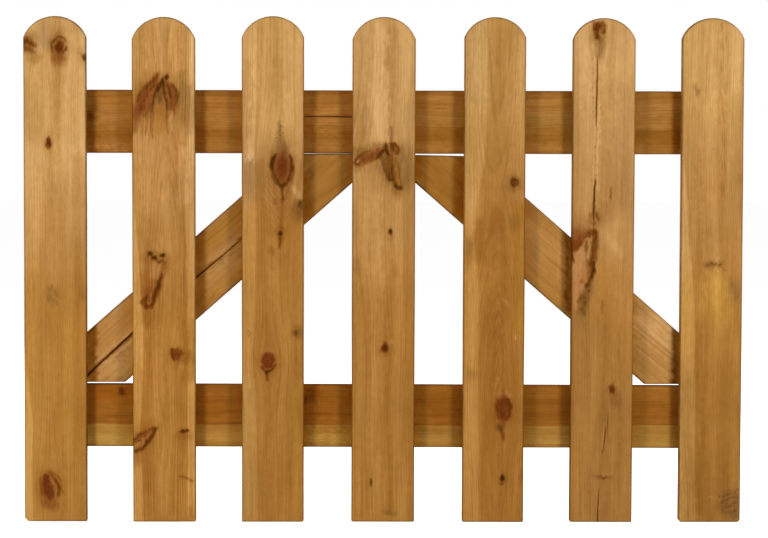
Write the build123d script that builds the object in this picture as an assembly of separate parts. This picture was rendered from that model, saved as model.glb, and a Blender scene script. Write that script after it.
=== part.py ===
"""Low wooden garden gate leaf: seven round-topped pales on two back rails,
with a pair of braces that rise from the outer bottom corners and meet under
the middle of the top rail.

Frame: +X across the leaf (left to right as seen from the front), +Y from the
front of the pales to the back of the rails, +Z up. The origin is on the back
face of the top rail, at the middle of its length and height. Millimetres.
"""

import math
import os

from build123d import *

# ---------------------------------------------------------------- timber stock
THICK = 20.0          # thickness of every board
EASE = 3.0            # planed round on the four long edges of every board
RAIL_WIDTH = 88.0     # height of a rail

# ---------------------------------------------------------------- heights above the pales' feet
TOP_RAIL_MID = 557.8
BOTTOM_RAIL_MID = 146.3
BOTTOM_RAIL_TILT = 0.11   # degrees, the right end sits lower
RAIL_LENGTH = 996.0       # 2 mm short of the outer pales at each end

# ---------------------------------------------------------------- pales
TOP_RADIUS = 46.5     # round of the pale's head, a little wider than the board
# middle at the foot, middle at the head, width, foot height, head height,
# left and right corner break at the foot
PALES = [
    (-456.3, -456.3, 87.0, 0.5, 704.0, 5.0, 0.7),
    (-304.8, -306.1, 87.8, 0.0, 703.3, 0.6, 1.4),
    (-153.8, -154.4, 86.6, 0.0, 704.8, 0.6, 1.8),
    (-0.3, -0.2, 88.0, 0.3, 704.2, 1.4, 1.0),
    (153.3, 154.1, 85.8, 0.0, 704.4, 1.4, 1.3),
    (304.4, 305.4, 87.3, 0.2, 703.6, 1.4, 1.0),
    (456.6, 456.6, 86.6, 0.4, 704.0, 2.6, 3.0),
]

# ---------------------------------------------------------------- braces
# slope in degrees, width, height where the lower edge crosses the middle line,
# height and skew (degrees) of the top cut, height and skew of the foot cut
LEFT_BRACE = (41.45, 88.0, 511.8, 513.3, 0.3, 193.6, 0.1)
RIGHT_BRACE = (41.2, 86.6, 511.8, 511.5, 1.2, 192.2, -0.2)
TOE_GAP = 2.0             # between the two toes under the middle of the top rail

BACK_OF_PALES = -THICK
FRONT = -2 * THICK
FOOT_Z = -TOP_RAIL_MID    # the pales' feet in the part's frame

os.makedirs("parts", exist_ok=True)


def stock(width, length):
    """A planed board along +Z: width on X, thickness on Y from 0 to -THICK."""
    section = Plane.XY * RectangleRounded(width, THICK, EASE)
    return Pos(0, -THICK / 2, 0) * extrude(section, length)


def prism(points):
    """A slab through the whole thickness with the given outline in X and Z."""
    outline = make_face(Polyline(*[(x, 0, z) for x, z in points], close=True))
    return Pos(0, 20, 0) * extrude(outline, 100, dir=(0, -1, 0))


def pale(x_foot, x_head, width, foot, head, break_left, break_right):
    """One upright: planed board, cut to a round head, with broken foot corners."""
    half = width / 2
    length = head - foot
    shoulder = length - TOP_RADIUS + math.sqrt(TOP_RADIUS**2 - half**2)
    side = half + 5
    low = [
        (-half + break_left, 0),
        (half - break_right, 0),
        (half, break_right),
        (side, break_right + 5),
        (side, shoulder),
    ]
    edge = Polyline(*[(x, 0, z) for x, z in low])
    right = Line((side, 0, shoulder), (half, 0, shoulder))
    crown = ThreePointArc((half, 0, shoulder), (0, 0, length), (-half, 0, shoulder))
    left = Line((-half, 0, shoulder), (-side, 0, shoulder))
    down = Polyline(
        (-side, 0, shoulder),
        (-side, 0, break_left + 5),
        (-half, 0, break_left),
        (-half + break_left, 0, 0),
    )
    outline = make_face([edge, right, crown, left, down])
    cutter = Pos(0, 20, 0) * extrude(outline, 100, dir=(0, -1, 0))
    board = stock(width, length) & cutter
    lean = math.degrees(math.atan2(x_head - x_foot, length))
    return Pos(x_foot, BACK_OF_PALES, FOOT_Z + foot) * Rot(0, lean, 0) * board


def rail(mid_height, tilt):
    """One cross rail behind the pales, its back face on y = 0."""
    board = Pos(0, 0, -RAIL_LENGTH / 2) * stock(RAIL_WIDTH, RAIL_LENGTH)
    return Pos(0, 0, FOOT_Z + mid_height) * Rot(0, 90 + tilt, 0) * board


def brace(slope, width, cross, top, top_skew, foot, foot_skew, side):
    """One brace between the rails. side is -1 for the left one, 1 for the right.
    It is drawn rising to the right, from the left corner, and mirrored."""
    a = math.radians(slope)
    long = 900.0
    toe = -TOE_GAP / 2
    board = Pos(0, 0, -long / 2) * stock(width, long)
    # the board's length turned from +Z to the slope, its lower edge on the line
    board = Rot(0, 90 - slope, 0) * board
    mid_x = -200.0
    mid_z = cross + mid_x * math.tan(a) + width / 2 / math.cos(a)
    board = Pos(mid_x, 0, mid_z) * board
    st, sf = math.tan(math.radians(top_skew)), math.tan(math.radians(foot_skew))
    trim = prism(
        [
            (-700, foot + sf * (-700 + 440)),
            (toe, foot + sf * (toe + 440)),
            (toe, top + st * (toe + 60)),
            (-700, top + st * (-700 + 60)),
        ]
    )
    board = board & trim
    if side > 0:
        board = mirror(board, Plane.YZ)
    return Pos(0, 0, FOOT_Z) * board


pieces = {f"pale_{n}": pale(*row) for n, row in enumerate(PALES, 1)}
pieces["top_rail"] = rail(TOP_RAIL_MID, 0.0)
pieces["bottom_rail"] = rail(BOTTOM_RAIL_MID, BOTTOM_RAIL_TILT)
pieces["left_brace"] = brace(*LEFT_BRACE, -1)
pieces["right_brace"] = brace(*RIGHT_BRACE, 1)

for name, shape in pieces.items():
    solids = shape.solids()
    assert len(solids) == 1, (name, len(solids))
    export_step(solids[0], f"parts/{name}.step")
    box = solids[0].bounding_box()
    print(name, round(solids[0].volume), box.min, box.max)
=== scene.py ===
import math

import bpy
import numpy as np
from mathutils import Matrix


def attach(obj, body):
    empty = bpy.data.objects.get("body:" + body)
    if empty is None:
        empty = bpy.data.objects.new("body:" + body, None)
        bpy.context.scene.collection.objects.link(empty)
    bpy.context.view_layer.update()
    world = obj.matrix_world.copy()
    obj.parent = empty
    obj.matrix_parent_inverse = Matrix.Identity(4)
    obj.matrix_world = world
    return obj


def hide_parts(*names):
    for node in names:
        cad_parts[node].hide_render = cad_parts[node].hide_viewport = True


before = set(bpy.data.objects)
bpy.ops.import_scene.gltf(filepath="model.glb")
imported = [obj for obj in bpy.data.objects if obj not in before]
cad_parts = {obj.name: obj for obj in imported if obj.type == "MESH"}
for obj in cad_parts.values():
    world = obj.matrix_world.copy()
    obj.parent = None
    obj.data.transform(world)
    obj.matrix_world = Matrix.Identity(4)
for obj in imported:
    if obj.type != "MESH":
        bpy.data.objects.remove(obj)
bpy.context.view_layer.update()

# ------------------------------------------------------------------ the gate's dimensions, mm
THICK, EASE = 20.0, 3.0
FRONT, BACK_OF_PALES = -40.0, -20.0
FOOT_Z = -557.8
TOP_RADIUS = 46.5
PALES = [
    (-456.3, -456.3, 87.0, 0.5, 704.0, 5.0, 0.7),
    (-304.8, -306.1, 87.8, 0.0, 703.3, 0.6, 1.4),
    (-153.8, -154.4, 86.6, 0.0, 704.8, 0.6, 1.8),
    (-0.3, -0.2, 88.0, 0.3, 704.2, 1.4, 1.0),
    (153.3, 154.1, 85.8, 0.0, 704.4, 1.4, 1.3),
    (304.4, 305.4, 87.3, 0.2, 703.6, 1.4, 1.0),
    (456.6, 456.6, 86.6, 0.4, 704.0, 2.6, 3.0),
]
RAIL_WIDTH, RAIL_LENGTH = 88.0, 996.0
RAILS = {"top_rail": (557.8, 0.0), "bottom_rail": (146.3, 0.11)}
BRACES = {
    "left_brace": (41.45, 88.0, 511.8, 513.3, 0.3, 193.6, 0.1, -1),
    "right_brace": (41.2, 86.6, 511.8, 511.5, 1.2, 192.2, -0.2, 1),
}
TOE = 1.0

# ------------------------------------------------------------------ camera, from the photo's edges
CAM_F = 3576.83                     # focal length in pixels of the 768 wide frame
CAM_AT = np.array([-71.979, -5002.0, 694.740 + FOOT_Z])
PITCH, YAW, ROLL = -0.0684834215, 0.0145978995, 0.00312725791
FWD = np.array([math.sin(YAW) * math.cos(PITCH), math.cos(YAW) * math.cos(PITCH), math.sin(PITCH)])
_r0 = np.array([math.cos(YAW), -math.sin(YAW), 0.0])
_u0 = np.cross(_r0, FWD)
RIGHT = math.cos(ROLL) * _r0 + math.sin(ROLL) * _u0
UP = -math.sin(ROLL) * _r0 + math.cos(ROLL) * _u0


def on_plane(px, py, y):
    """x and z in mm where the sight line through a pixel meets the upright plane at y."""
    ray = FWD * CAM_F + RIGHT * (px - 384.0) - UP * (py - 269.0)
    k = (y - CAM_AT[1]) / ray[1]
    return CAM_AT[0] + k * ray[0], CAM_AT[2] + k * ray[2]


# ------------------------------------------------------------------ helpers
def smooth(a, b, x):
    t = np.clip((x - a) / (b - a), 0.0, 1.0)
    return t * t * (3.0 - 2.0 * t)


def vnoise(x, y, seed):
    """Smooth value noise from -1 to 1."""
    xf, yf = np.floor(x), np.floor(y)
    xi, yi = xf.astype(np.int64), yf.astype(np.int64)
    fx, fy = x - xf, y - yf
    fx, fy = fx * fx * (3 - 2 * fx), fy * fy * (3 - 2 * fy)

    def h(a, b):
        n = (a * 374761393 + b * 668265263 + seed * 974711) & 0x7FFFFFFF
        n = ((n ^ (n >> 13)) * 1274126177) & 0x7FFFFFFF
        return ((n ^ (n >> 16)) & 0xFFFF) / 32767.5 - 1.0

    a, b = h(xi, yi), h(xi + 1, yi)
    c, d = h(xi, yi + 1), h(xi + 1, yi + 1)
    return (a + (b - a) * fx) * (1 - fy) + (c + (d - c) * fx) * fy


def fbm(x, y, seed, octaves=3):
    s, amp, tot = 0.0, 1.0, 0.0
    for k in range(octaves):
        s = s + amp * vnoise(x * 2**k, y * 2**k, seed + 17 * k)
        tot += amp
        amp *= 0.5
    return s / tot

def lin(r, g, b):
    f = lambda c: c / 12.92 if c <= 0.04045 else ((c + 0.055) / 1.055) ** 2.4
    return np.array([f(r / 255.0), f(g / 255.0), f(b / 255.0)])


# stains and knots, as sRGB in even light
TINT = {
    "rust": lin(114, 55, 20),        # the red-brown heart of a knot
    "umber": lin(88, 45, 6),         # its dark bark
    "ink_and_crack_shade": lin(66, 32, 3),           # resin gone black
    "sienna": lin(134, 77, 31),
    "blush": lin(162, 105, 53),      # reddened wood round a knot
    "rose": lin(184, 130, 82),
    "olive": lin(142, 105, 52),      # greyed wood
    "dusk": lin(118, 80, 37),
    "buff": lin(208, 165, 108),      # torn or dry wood
    "amber": lin(176, 118, 48),
}
# broad changes of tone, as what they multiply
WASH = {
    "pale": np.array([1.20, 1.26, 1.50]),
    "tan": np.array([0.88, 0.84, 0.74]),
    "brown": np.array([0.76, 0.68, 0.54]),
    "red": np.array([0.86, 0.70, 0.54]),
    "grey": np.array([0.78, 0.80, 0.90]),
    "gold": np.array([1.06, 1.08, 0.88]),
    "smoke": np.array([0.62, 0.57, 0.50]),
    "shade": np.array([0.50, 0.42, 0.32]),
    "light": np.array([1.13, 1.15, 1.18]),
    "dim": np.array([0.86, 0.85, 0.83]),
    "honey": np.array([1.00, 0.99, 0.76]),
    "straw": np.array([1.03, 1.13, 1.22]),
    "bruise": np.array([0.60, 0.63, 0.94]),
    "deep": np.array([0.98, 0.87, 0.56]),      # painted shade: warms and deepens the shadows beside the pales
    "painted_shadow": np.array([0.84, 0.62, 0.20]),     # painted shadow, darker and warmer still
}
# the heads of the pales are lighter and paler, their feet darker and warmer
HEAD, MIDDLE, FOOT = np.array([1.40, 1.60, 2.25]), np.array([1.15, 1.19, 1.38]), np.array([1.05, 0.99, 0.83])


class Board:
    """A board with its own axes: u across, v along the grain, d from the front face inwards."""

    def __init__(self, node, at, turn, width, front, low, high, seed):
        self.node, self.width, self.front, self.seed = node, width, front, seed
        self.ox, self.oz = at
        t = math.radians(turn)
        self.U = (math.cos(t), -math.sin(t))
        self.V = (math.sin(t), math.cos(t))
        self.low, self.high = low, high
        self.growths, self.strokes, self.cracks, self.paints = [], [], [], []
        self.edges = {}
        self.pith = dict(u=-160.0, d=60.0, s=2.5)
        self.fade = None

    def world(self, u, v, d):
        x = self.ox + u * self.U[0] + v * self.V[0]
        z = self.oz + u * self.U[1] + v * self.V[1]
        return np.stack([x, self.front + d, z], -1) * 0.001

    def local(self, px, py):
        x, z = on_plane(px, py, self.front)
        dx, dz = x - self.ox, z - self.oz
        return dx * self.U[0] + dz * self.U[1], dx * self.V[0] + dz * self.V[1]

    @property
    def mm(self):
        return (self.front - CAM_AT[1]) / CAM_F

    def turned(self, ang):
        """A direction given in the picture, in degrees from +x towards +y down, in the board's axes."""
        a = math.radians(ang)
        dx, dz = math.cos(a), -math.sin(a)
        return math.atan2(dx * self.V[0] + dz * self.V[1], dx * self.U[0] + dz * self.U[1])

    # ---- what the surface shows, placed by the photo's pixels
    def grow(self, x, y, rx, ry, flow=1.0, deep=True):
        """A knot that the grain runs round."""
        u, v = self.local(x, y)
        a, e = rx * self.mm, ry * self.mm
        if abs(self.U[0]) < abs(self.V[0]):
            a, e = e, a
        self.growths.append((u, v, a, e, flow))
        if deep:                                      # it comes out at the back a little way off
            k = len(self.growths) + self.seed
            bu = u + 5.0 * math.sin(2.3 * k)
            bv = v + 9.0 * math.sin(1.7 * k + 1.0)
            for tint, f, amount, soft in (("blush", 1.8, 0.5, 4.0), ("rust", 0.95, 0.9, 1.6), ("umber", 0.5, 0.5, 1.6)):
                self.paints.append(dict(kind="oval", u=bu, v=bv, a=a * f, e=e * f, ang=0.4 * math.sin(k), mode="paint",
                                        tint=TINT[tint], amount=amount, soft=soft, rag=1.0, side=-1,
                                        box=self._box([(bu, bv)], max(a, e) * f + soft + 3)))

    @staticmethod
    def _box(pts, pad):
        us, vs = [p[0] for p in pts], [p[1] for p in pts]
        return min(us) - pad, max(us) + pad, min(vs) - pad, max(vs) + pad

    def dab(self, tint, pts, amount=0.8, soft=1.2, rag=0.8, mode="paint"):
        """A band of colour along points (x, y, half width), soft at its edges."""
        q = [(*self.local(x, y), w * self.mm) for x, y, w in pts]
        if len(q) == 1:
            q = q * 2
        table = TINT if mode == "paint" else WASH
        soft *= 1.3 if mode == "paint" else 1.0
        self.paints.append(dict(kind="band", pts=q, mode=mode, tint=table[tint], amount=amount, soft=soft * self.mm,
                                rag=rag * self.mm, side=1,
                                box=self._box(q, max(p[2] for p in q) + (soft + rag) * self.mm + 1)))

    def wash(self, tint, pts, amount=0.5, soft=5.0, rag=2.5):
        self.dab(tint, pts, amount, soft, rag, "wash")

    def oval(self, tint, x, y, rx, ry, amount=0.8, soft=1.0, ang=0.0, rag=0.8, mode="paint"):
        u, v = self.local(x, y)
        a, e = rx * self.mm, ry * self.mm
        table = TINT if mode == "paint" else WASH
        soft *= 1.3 if mode == "paint" else 1.0
        self.paints.append(dict(kind="oval", u=u, v=v, a=a, e=e, ang=self.turned(ang), mode=mode, tint=table[tint],
                                amount=amount, soft=soft * self.mm, rag=rag * self.mm, side=1,
                                box=self._box([(u, v)], max(a, e) + (soft + rag) * self.mm + 1)))

    def veil(self, tint, x, y, rx, ry, amount=0.6, soft=5.0, ang=0.0):
        self.oval(tint, x, y, rx, ry, amount, soft, ang, 1.5, "wash")

    def knot(self, x, y, rx, ry, tone=0.5, ang=0.0, flow=1.0, halo=1.0):
        """A plain round knot: darkened wood, a core, a darker eye and a broken dark rim."""
        self.grow(x, y, rx, ry, flow)
        self.veil("brown", x, y + 0.3 * ry, rx * 1.9, ry * 1.8, 0.75 * halo, 0.6 * max(rx, ry) + 1.0, ang)
        self.oval("rust", x, y, rx, ry, 0.9, 1.2, ang)
        self.oval("umber", x, y, rx * 0.9, ry * 0.9, tone, 1.3, ang)
        self.oval("ink_and_crack_shade", x - 0.15 * rx, y + 0.1 * ry, rx * 0.45, ry * 0.45, 0.6 * tone, 1.0, ang)
        k = self.seed + len(self.growths)
        for s, (t0, t1) in enumerate(((0.3, 2.3), (3.3, 5.0))):
            t0, t1 = t0 + math.sin(k + s), t1 + math.sin(k + s)
            c, sn = math.cos(math.radians(ang)), math.sin(math.radians(ang))
            arc = []
            for t in np.linspace(t0, t1, 6):
                ex, ey = (rx + 0.3) * math.cos(t), (ry + 0.3) * math.sin(t)
                arc.append((x + ex * c - ey * sn, y + ex * sn + ey * c, 0.6))
            self.dab("umber", arc, 0.6, 1.0)

    def stroke(self, pts, soft=0.0):
        """A fine dark line along points (x, y, half width in mm)."""
        self.strokes.append(([(*self.local(x, y), w) for x, y, w in pts], soft))

    def crack(self, pts, depth=5.0):
        """An open check along points (x, y, half width in mm); it is cut into the mesh."""
        self.cracks.append(([(*self.local(x, y), w) for x, y, w in pts], depth))

    def edge(self, side, pts, soft=1.5):
        """Where heartwood ends: side is -1 (to low u) or 1, points as pixels."""
        q = sorted([self.local(x, y)[::-1] for x, y in pts])
        self.edges[side] = (np.array([p[0] for p in q]), np.array([p[1] for p in q]), soft)


def seg_dist(u, v, pts):
    """Distance to a polyline less its half width there."""
    best = np.full(u.shape, 1e9)
    for (u0, v0, w0), (u1, v1, w1) in zip(pts[:-1], pts[1:]):
        du, dv = u1 - u0, v1 - v0
        t = np.clip(((u - u0) * du + (v - v0) * dv) / max(du * du + dv * dv, 1e-9), 0, 1)
        best = np.minimum(best, np.hypot(u - u0 - t * du, v - v0 - t * dv) - (w0 + t * (w1 - w0)))
    return best


def near(u, v, box):
    return np.nonzero((u > box[0]) & (u < box[1]) & (v > box[2]) & (v < box[3]))[0]


def lay_colours(b, u, v, d, wood):
    """The broad tones, and over them the stains: both as what they multiply the wood with.

    A stain goes over what is there by ratios, so that thin dark stains stay warm."""
    n = u.size
    tone = np.ones((n, 3))
    w1 = vnoise(u / 3.2, v / 4.6, b.seed + 60) + 0.8 * vnoise(u / 8.0, v / 13.0, b.seed + 63)
    w2 = vnoise(u / 3.2 + 50, v / 4.6, b.seed + 61) + 0.8 * vnoise(u / 8.0 + 50, v / 13.0, b.seed + 64)
    streak = 0.7 * vnoise(u / 2.0, v / 16.0, b.seed + 62) + 0.5 * vnoise(u / 4.5, v / 6.0, b.seed + 65)
    weight = {1: smooth(12.0, 4.0, d), -1: smooth(9.0, 17.0, d)}

    def cover_of(p):
        i = near(u, v, p["box"])
        i = i[weight[p["side"]][i] > 0]
        if not i.size:
            return i, None
        uu, vv = u[i] + p["rag"] * w1[i], v[i] + p["rag"] * w2[i]
        if p["kind"] == "band":
            sd = seg_dist(uu, vv, p["pts"])
        else:
            c, s = math.cos(p["ang"]), math.sin(p["ang"])
            x, y = (uu - p["u"]) * c + (vv - p["v"]) * s, -(uu - p["u"]) * s + (vv - p["v"]) * c
            sd = (np.hypot(x / p["a"], y / p["e"]) - 1.0) * min(p["a"], p["e"])
        a = p["amount"] * smooth(p["soft"], -p["soft"], sd) * weight[p["side"]][i] * (1.0 + 0.24 * streak[i])
        return i, np.clip(a, 0.0, 1.0)[:, None]

    for p in b.paints:
        if p["mode"] == "wash":
            i, a = cover_of(p)
            if i.size:
                tone[i] *= 1.0 + a * (p["tint"] - 1.0)
    drift = fbm(u / 26.0, v / 190.0, b.seed + 70, 3)
    blotch = fbm(u / 40.0 + 9, v / 70.0, b.seed + 71, 3)
    tone *= np.exp(np.stack([0.07 * drift + 0.05 * blotch, 0.08 * drift + 0.055 * blotch, 0.11 * drift + 0.07 * blotch], -1))
    if b.fade is not None:
        vh, vm, vf = [b.local(384, y)[1] for y in b.fade]
        at = v + 18.0 * fbm(u / 22.0, v / 90.0, b.seed + 72, 2)
        kh, kf = smooth(vm, vh, at)[:, None], smooth(vm, vf, at)[:, None]
        tone *= MIDDLE * (1 - kh - kf) + HEAD * kh + FOOT * kf
    there = np.log(wood * tone)
    stain, cover = np.zeros((n, 3)), np.zeros(n)
    for p in b.paints:
        if p["mode"] == "paint":
            i, a = cover_of(p)
            if i.size:
                stain[i] = (1 - a) * stain[i] + a * (np.log(p["tint"]) - there[i])
                cover[i] = cover[i] + a[:, 0] * (1 - cover[i])
    return np.exp(stain), cover, tone


def fields(b, u, v, d):
    """What the wood is at each point of a board."""
    n = u.shape
    uw = u.copy()
    kd = np.full(n, 30.0)
    for i, (ku, kv, a, e, flow) in enumerate(b.growths):
        cv = kv - 0.25 * d
        rr = np.hypot((u - ku) / a, (v - cv) / e)
        kd = np.minimum(kd, (rr - 1.0) * min(a, e))
        if flow:
            fa, fb = 1.7 * a + 2.0, 3.0 * e + 6.0
            g = flow * 0.92 * np.exp(-(((u - ku) / fa) ** 2) - ((v - cv) / fb) ** 2)
            uw = ku + (uw - ku) * (1.0 - np.clip(g, 0, 0.80))
    # rings about the pith, which wanders along the board
    P = b.pith
    pu = P["u"] + 7.0 * vnoise(v / 170.0, v * 0 + 0.5, b.seed + 5) + P.get("lean", 0.0) * (v - 350.0)
    if "d_at" in P:
        pd = np.interp(v, *P["d_at"])
    else:
        pd = P["d"] + 6.0 * vnoise(v / 210.0, v * 0 + 2.5, b.seed + 6)
    r = np.hypot(uw - pu, d - pd)
    ring = r / P["s"] + 0.30 * fbm(uw / 16.0, v / 120.0, b.seed + 9, 3)
    # heartwood, as distance inside its edges
    heart = np.full(n, 12.0)
    for side, (vs, us, soft) in b.edges.items():
        at = np.interp(v, vs, us) + 0.9 * fbm(v / 26.0, v * 0 + side, b.seed + 30, 3)
        heart = np.minimum(heart, (uw * 0.35 + u * 0.65 - at) * (-side) / soft)
    ink_and_crack_shade = np.full(n, 8.0)
    for pts, soft in b.strokes:
        i = near(u, v, b._box(pts, 11.0))
        ink_and_crack_shade[i] = np.minimum(ink_and_crack_shade[i], seg_dist(u[i], v[i], pts) + soft + 0.6 * np.maximum(d[i] - 1.0, 0.0))
    # cracks darken the wood along them: painted shade of their recess
    for pts, depth in b.cracks:
        hw = np.interp(v, *zip(*sorted([(p[1], p[2]) for p in pts])))
        closed = 4.0 * smooth(0.08, 0.0, hw)
        ink_and_crack_shade = np.minimum(ink_and_crack_shade, seg_dist(u, v, pts) + 0.3 + closed + 0.10 * np.maximum(d - 8.0, 0.0))
    return dict(uw=uw, ring=ring, kd=np.clip(kd, -25, 30), heart=np.clip(heart, -12, 12), ink_and_crack_shade=np.clip(ink_and_crack_shade, -4, 8))


# ------------------------------------------------------------------ board meshes
COL = 1.35
ROW_FINE, ROW_PLAIN, ROW_END = 1.45, 3.6, 0.7
BACK_SKIP = 2


def spread(lo, hi, step):
    n = max(2, int(round((hi - lo) / step)))
    return np.linspace(lo, hi, n + 1)


def rows(b, lo, hi):
    """Places along the board for its rows, closer where it shows something."""
    v = np.linspace(lo, hi, 4000)
    step = np.full(v.shape, ROW_PLAIN)
    spans = [(p["box"][2], p["box"][3]) for p in b.paints if p["mode"] == "paint" and p["side"] > 0 and p["soft"] < 2.6]
    spans += [(min(q[1] for q in pts) - 3, max(q[1] for q in pts) + 3) for pts, s in b.strokes]
    for pts, depth in b.cracks:
        wide = [q for q in pts if q[2] > 0.03]
        for q0, q1 in zip(pts[:-1], pts[1:]):
            if max(q0[2], q1[2]) > 0.05:
                spans.append((min(q0[1], q1[1]), max(q0[1], q1[1])))
    for a, e in spans:
        away = np.maximum(np.maximum(a - v, v - e), 0.0)
        step = np.minimum(step, ROW_FINE + 0.12 * away)
    tip = np.minimum(v - lo, hi - v)
    step = np.minimum(step, ROW_END + 0.22 * tip)
    dens = 1.0 / step
    acc = np.concatenate([[0.0], np.cumsum(0.5 * (dens[1:] + dens[:-1]) * np.diff(v))])
    n = int(round(acc[-1]))
    q = np.interp(np.linspace(0, acc[-1], n + 1), acc, v)
    return (q - lo) / (hi - lo)


def build_mesh(b):
    w, R, T = b.width, EASE, THICK
    flat = w / 2 - R
    cols = spread(-flat, flat, COL)
    guide = None
    if b.cracks:
        pts = sorted([p for c in b.cracks for p in c[0]], key=lambda p: p[1])
        gv, gu = np.array([p[1] for p in pts]), np.array([p[0] for p in pts])
        mid = float(np.mean(gu))
        fine = mid + np.array([-2.2, -1.5, -1.0, -0.65, -0.35, 0.0, 0.35, 0.65, 1.0, 1.5, 2.2]) * b.fine
        keep = [c for c in cols if np.min(np.abs(fine - c)) > 0.7 or abs(abs(c) - flat) < 1e-6]
        cols = np.array(sorted(set(keep) | set(fine.tolist())))
        guide = (gv, gu, mid)
    turn = np.radians(np.linspace(0, 90, 5))
    # front chain, from the middle of the left edge over the front to the middle of the right edge
    levels = np.array([R, 6.5, 10.0, 13.5, T - R])
    fu, fd = [], []
    for d in levels[2:0:-1]:
        fu.append(-w / 2); fd.append(d)
    for t in turn:                                   # (-w/2, R) to (-flat, 0)
        fu.append(-flat - R * math.cos(t)); fd.append(R - R * math.sin(t))
    n_left = len(fu) - 1                             # index of the first flat column
    for c in cols[1:]:
        fu.append(c); fd.append(0.0)
    n_right = len(fu) - 1
    for t in turn[1:]:
        fu.append(flat + R * math.sin(t)); fd.append(R - R * math.cos(t))
    for d in levels[1:3]:
        fu.append(w / 2); fd.append(d)
    nf = len(fu)
    match = list(range(0, len(cols) - 1, BACK_SKIP))
    if len(cols) - 1 - match[-1] < 2 and len(match) > 1:
        match.pop()
    match.append(len(cols) - 1)                      # front columns that the back shares
    bu, bd = [], []
    for d in levels[3:]:                             # right edge to (w/2, T-R)
        bu.append(w / 2); bd.append(d)
    for t in turn[1:]:
        bu.append(flat + R * math.cos(t)); bd.append(T - R + R * math.sin(t))
    b_right = len(bu) - 1                            # the last flat column, seen on the back
    for m in match[-2::-1]:
        bu.append(cols[m]); bd.append(T)
    for t in turn[1:]:
        bu.append(-flat - R * math.sin(t)); bd.append(T - R + R * math.cos(t))
    bu.append(-w / 2); bd.append(levels[3])
    pu, pd = np.array(fu + bu), np.array(fd + bd)
    npm = len(pu)
    q = rows(b, float(b.low(np.array(0.0))), float(b.high(np.array(0.0))))
    nr = len(q)

    def place(u, q):
        lo, hi = b.low(u), b.high(u)
        return lo + (hi - lo) * q

    U = np.repeat(pu[None, :], nr, 0)
    D = np.repeat(pd[None, :], nr, 0)
    Vv = place(U, np.repeat(q[:, None], npm, 1))
    if guide:
        gv, gu, mid = guide
        isfront = np.zeros(npm, bool)
        isfront[n_left + 1:n_right] = True
        x = np.clip(np.abs(pu - mid) / 16.0, 0, 1)
        win = ((1 - x * x) ** 2) * isfront
        U = U + win[None, :] * (np.interp(Vv, gv, gu) - mid)
        Vv = place(U, np.repeat(q[:, None], npm, 1))
    # caps: a grid across the thickness at each end
    mu = cols[match]
    caps = []
    for end in (0, 1):
        cu = np.repeat(mu[None, :], len(levels), 0)
        cd = np.repeat(levels[:, None], len(mu), 1)
        if guide:
            x = np.clip(np.abs(mu - mid) / 16.0, 0, 1)
            win = ((1 - x * x) ** 2)
            win[0] = win[-1] = 0
            top = place(cu, float(end))
            sh = win[None, :] * (np.interp(top, gv, gu) - mid) * (1 - np.clip(levels / T, 0, 1))[:, None]
            cu = cu + sh
        caps.append((cu, place(cu, float(end)), cd))
    nu = np.concatenate([U.ravel()] + [c[0].ravel() for c in caps])
    nv = np.concatenate([Vv.ravel()] + [c[1].ravel() for c in caps])
    nd = np.concatenate([D.ravel()] + [c[2].ravel() for c in caps])
    main = nr * npm
    ncap = len(levels) * len(mu)
    i = np.arange(nr - 1)[:, None] * npm
    j = np.arange(npm)[None, :]
    jn = (j + 1) % npm
    quads = np.stack([i + j, i + jn, i + npm + jn, i + npm + j], -1).reshape(-1, 4)
    caps_faces = []
    L = len(levels)
    # perimeter index of each edge level, left and right
    left_at = {2: 0, 1: 1, 0: 2, 3: npm - 1, 4: npm - 2}
    r0 = n_right + len(turn) - 1                     # (w/2, R)
    right_at = {0: r0, 1: r0 + 1, 2: r0 + 2, 3: nf, 4: nf + 1}
    back_of = {m: nf + b_right + k for k, m in enumerate(match[::-1])}
    for end in (0, 1):
        base = main + end * ncap
        row = 0 if end == 0 else (nr - 1) * npm
        g = lambda lev, m: base + lev * len(mu) + m
        out = []
        # rows between levels
        for lev in range(L - 1):
            out.append([row + left_at[lev], g(lev, 0), g(lev + 1, 0), row + left_at[lev + 1]])
            for m in range(len(mu) - 1):
                out.append([g(lev, m), g(lev, m + 1), g(lev + 1, m + 1), g(lev + 1, m)])
            out.append([g(lev, len(mu) - 1), row + right_at[lev], row + right_at[lev + 1], g(lev + 1, len(mu) - 1)])
        # front strip
        out.append([row + k for k in range(2, n_left + 1)] + [g(0, 0)])
        for m in range(len(mu) - 1):
            a, e = n_left + match[m], n_left + match[m + 1]
            out.append([row + k for k in range(a, e + 1)] + [g(0, m + 1), g(0, m)])
        out.append([g(0, len(mu) - 1)] + [row + k for k in range(n_right, r0 + 1)])
        # back strip
        out.append([g(L - 1, len(mu) - 1)] + [row + k for k in range(nf + 1, nf + b_right + 1)])
        for m in range(len(mu) - 1):
            out.append([g(L - 1, m), g(L - 1, m + 1), row + back_of[match[m + 1]], row + back_of[match[m]]])
        out.append([row + k for k in range(back_of[0], npm - 1)] + [g(L - 1, 0)])
        if end == 0:
            out = [f[::-1] for f in out]
        caps_faces += out
    ends = np.zeros(len(nu))
    ends[main:] = 1.0
    return nu, nv, nd, quads, caps_faces, ends, npm, nr


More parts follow.
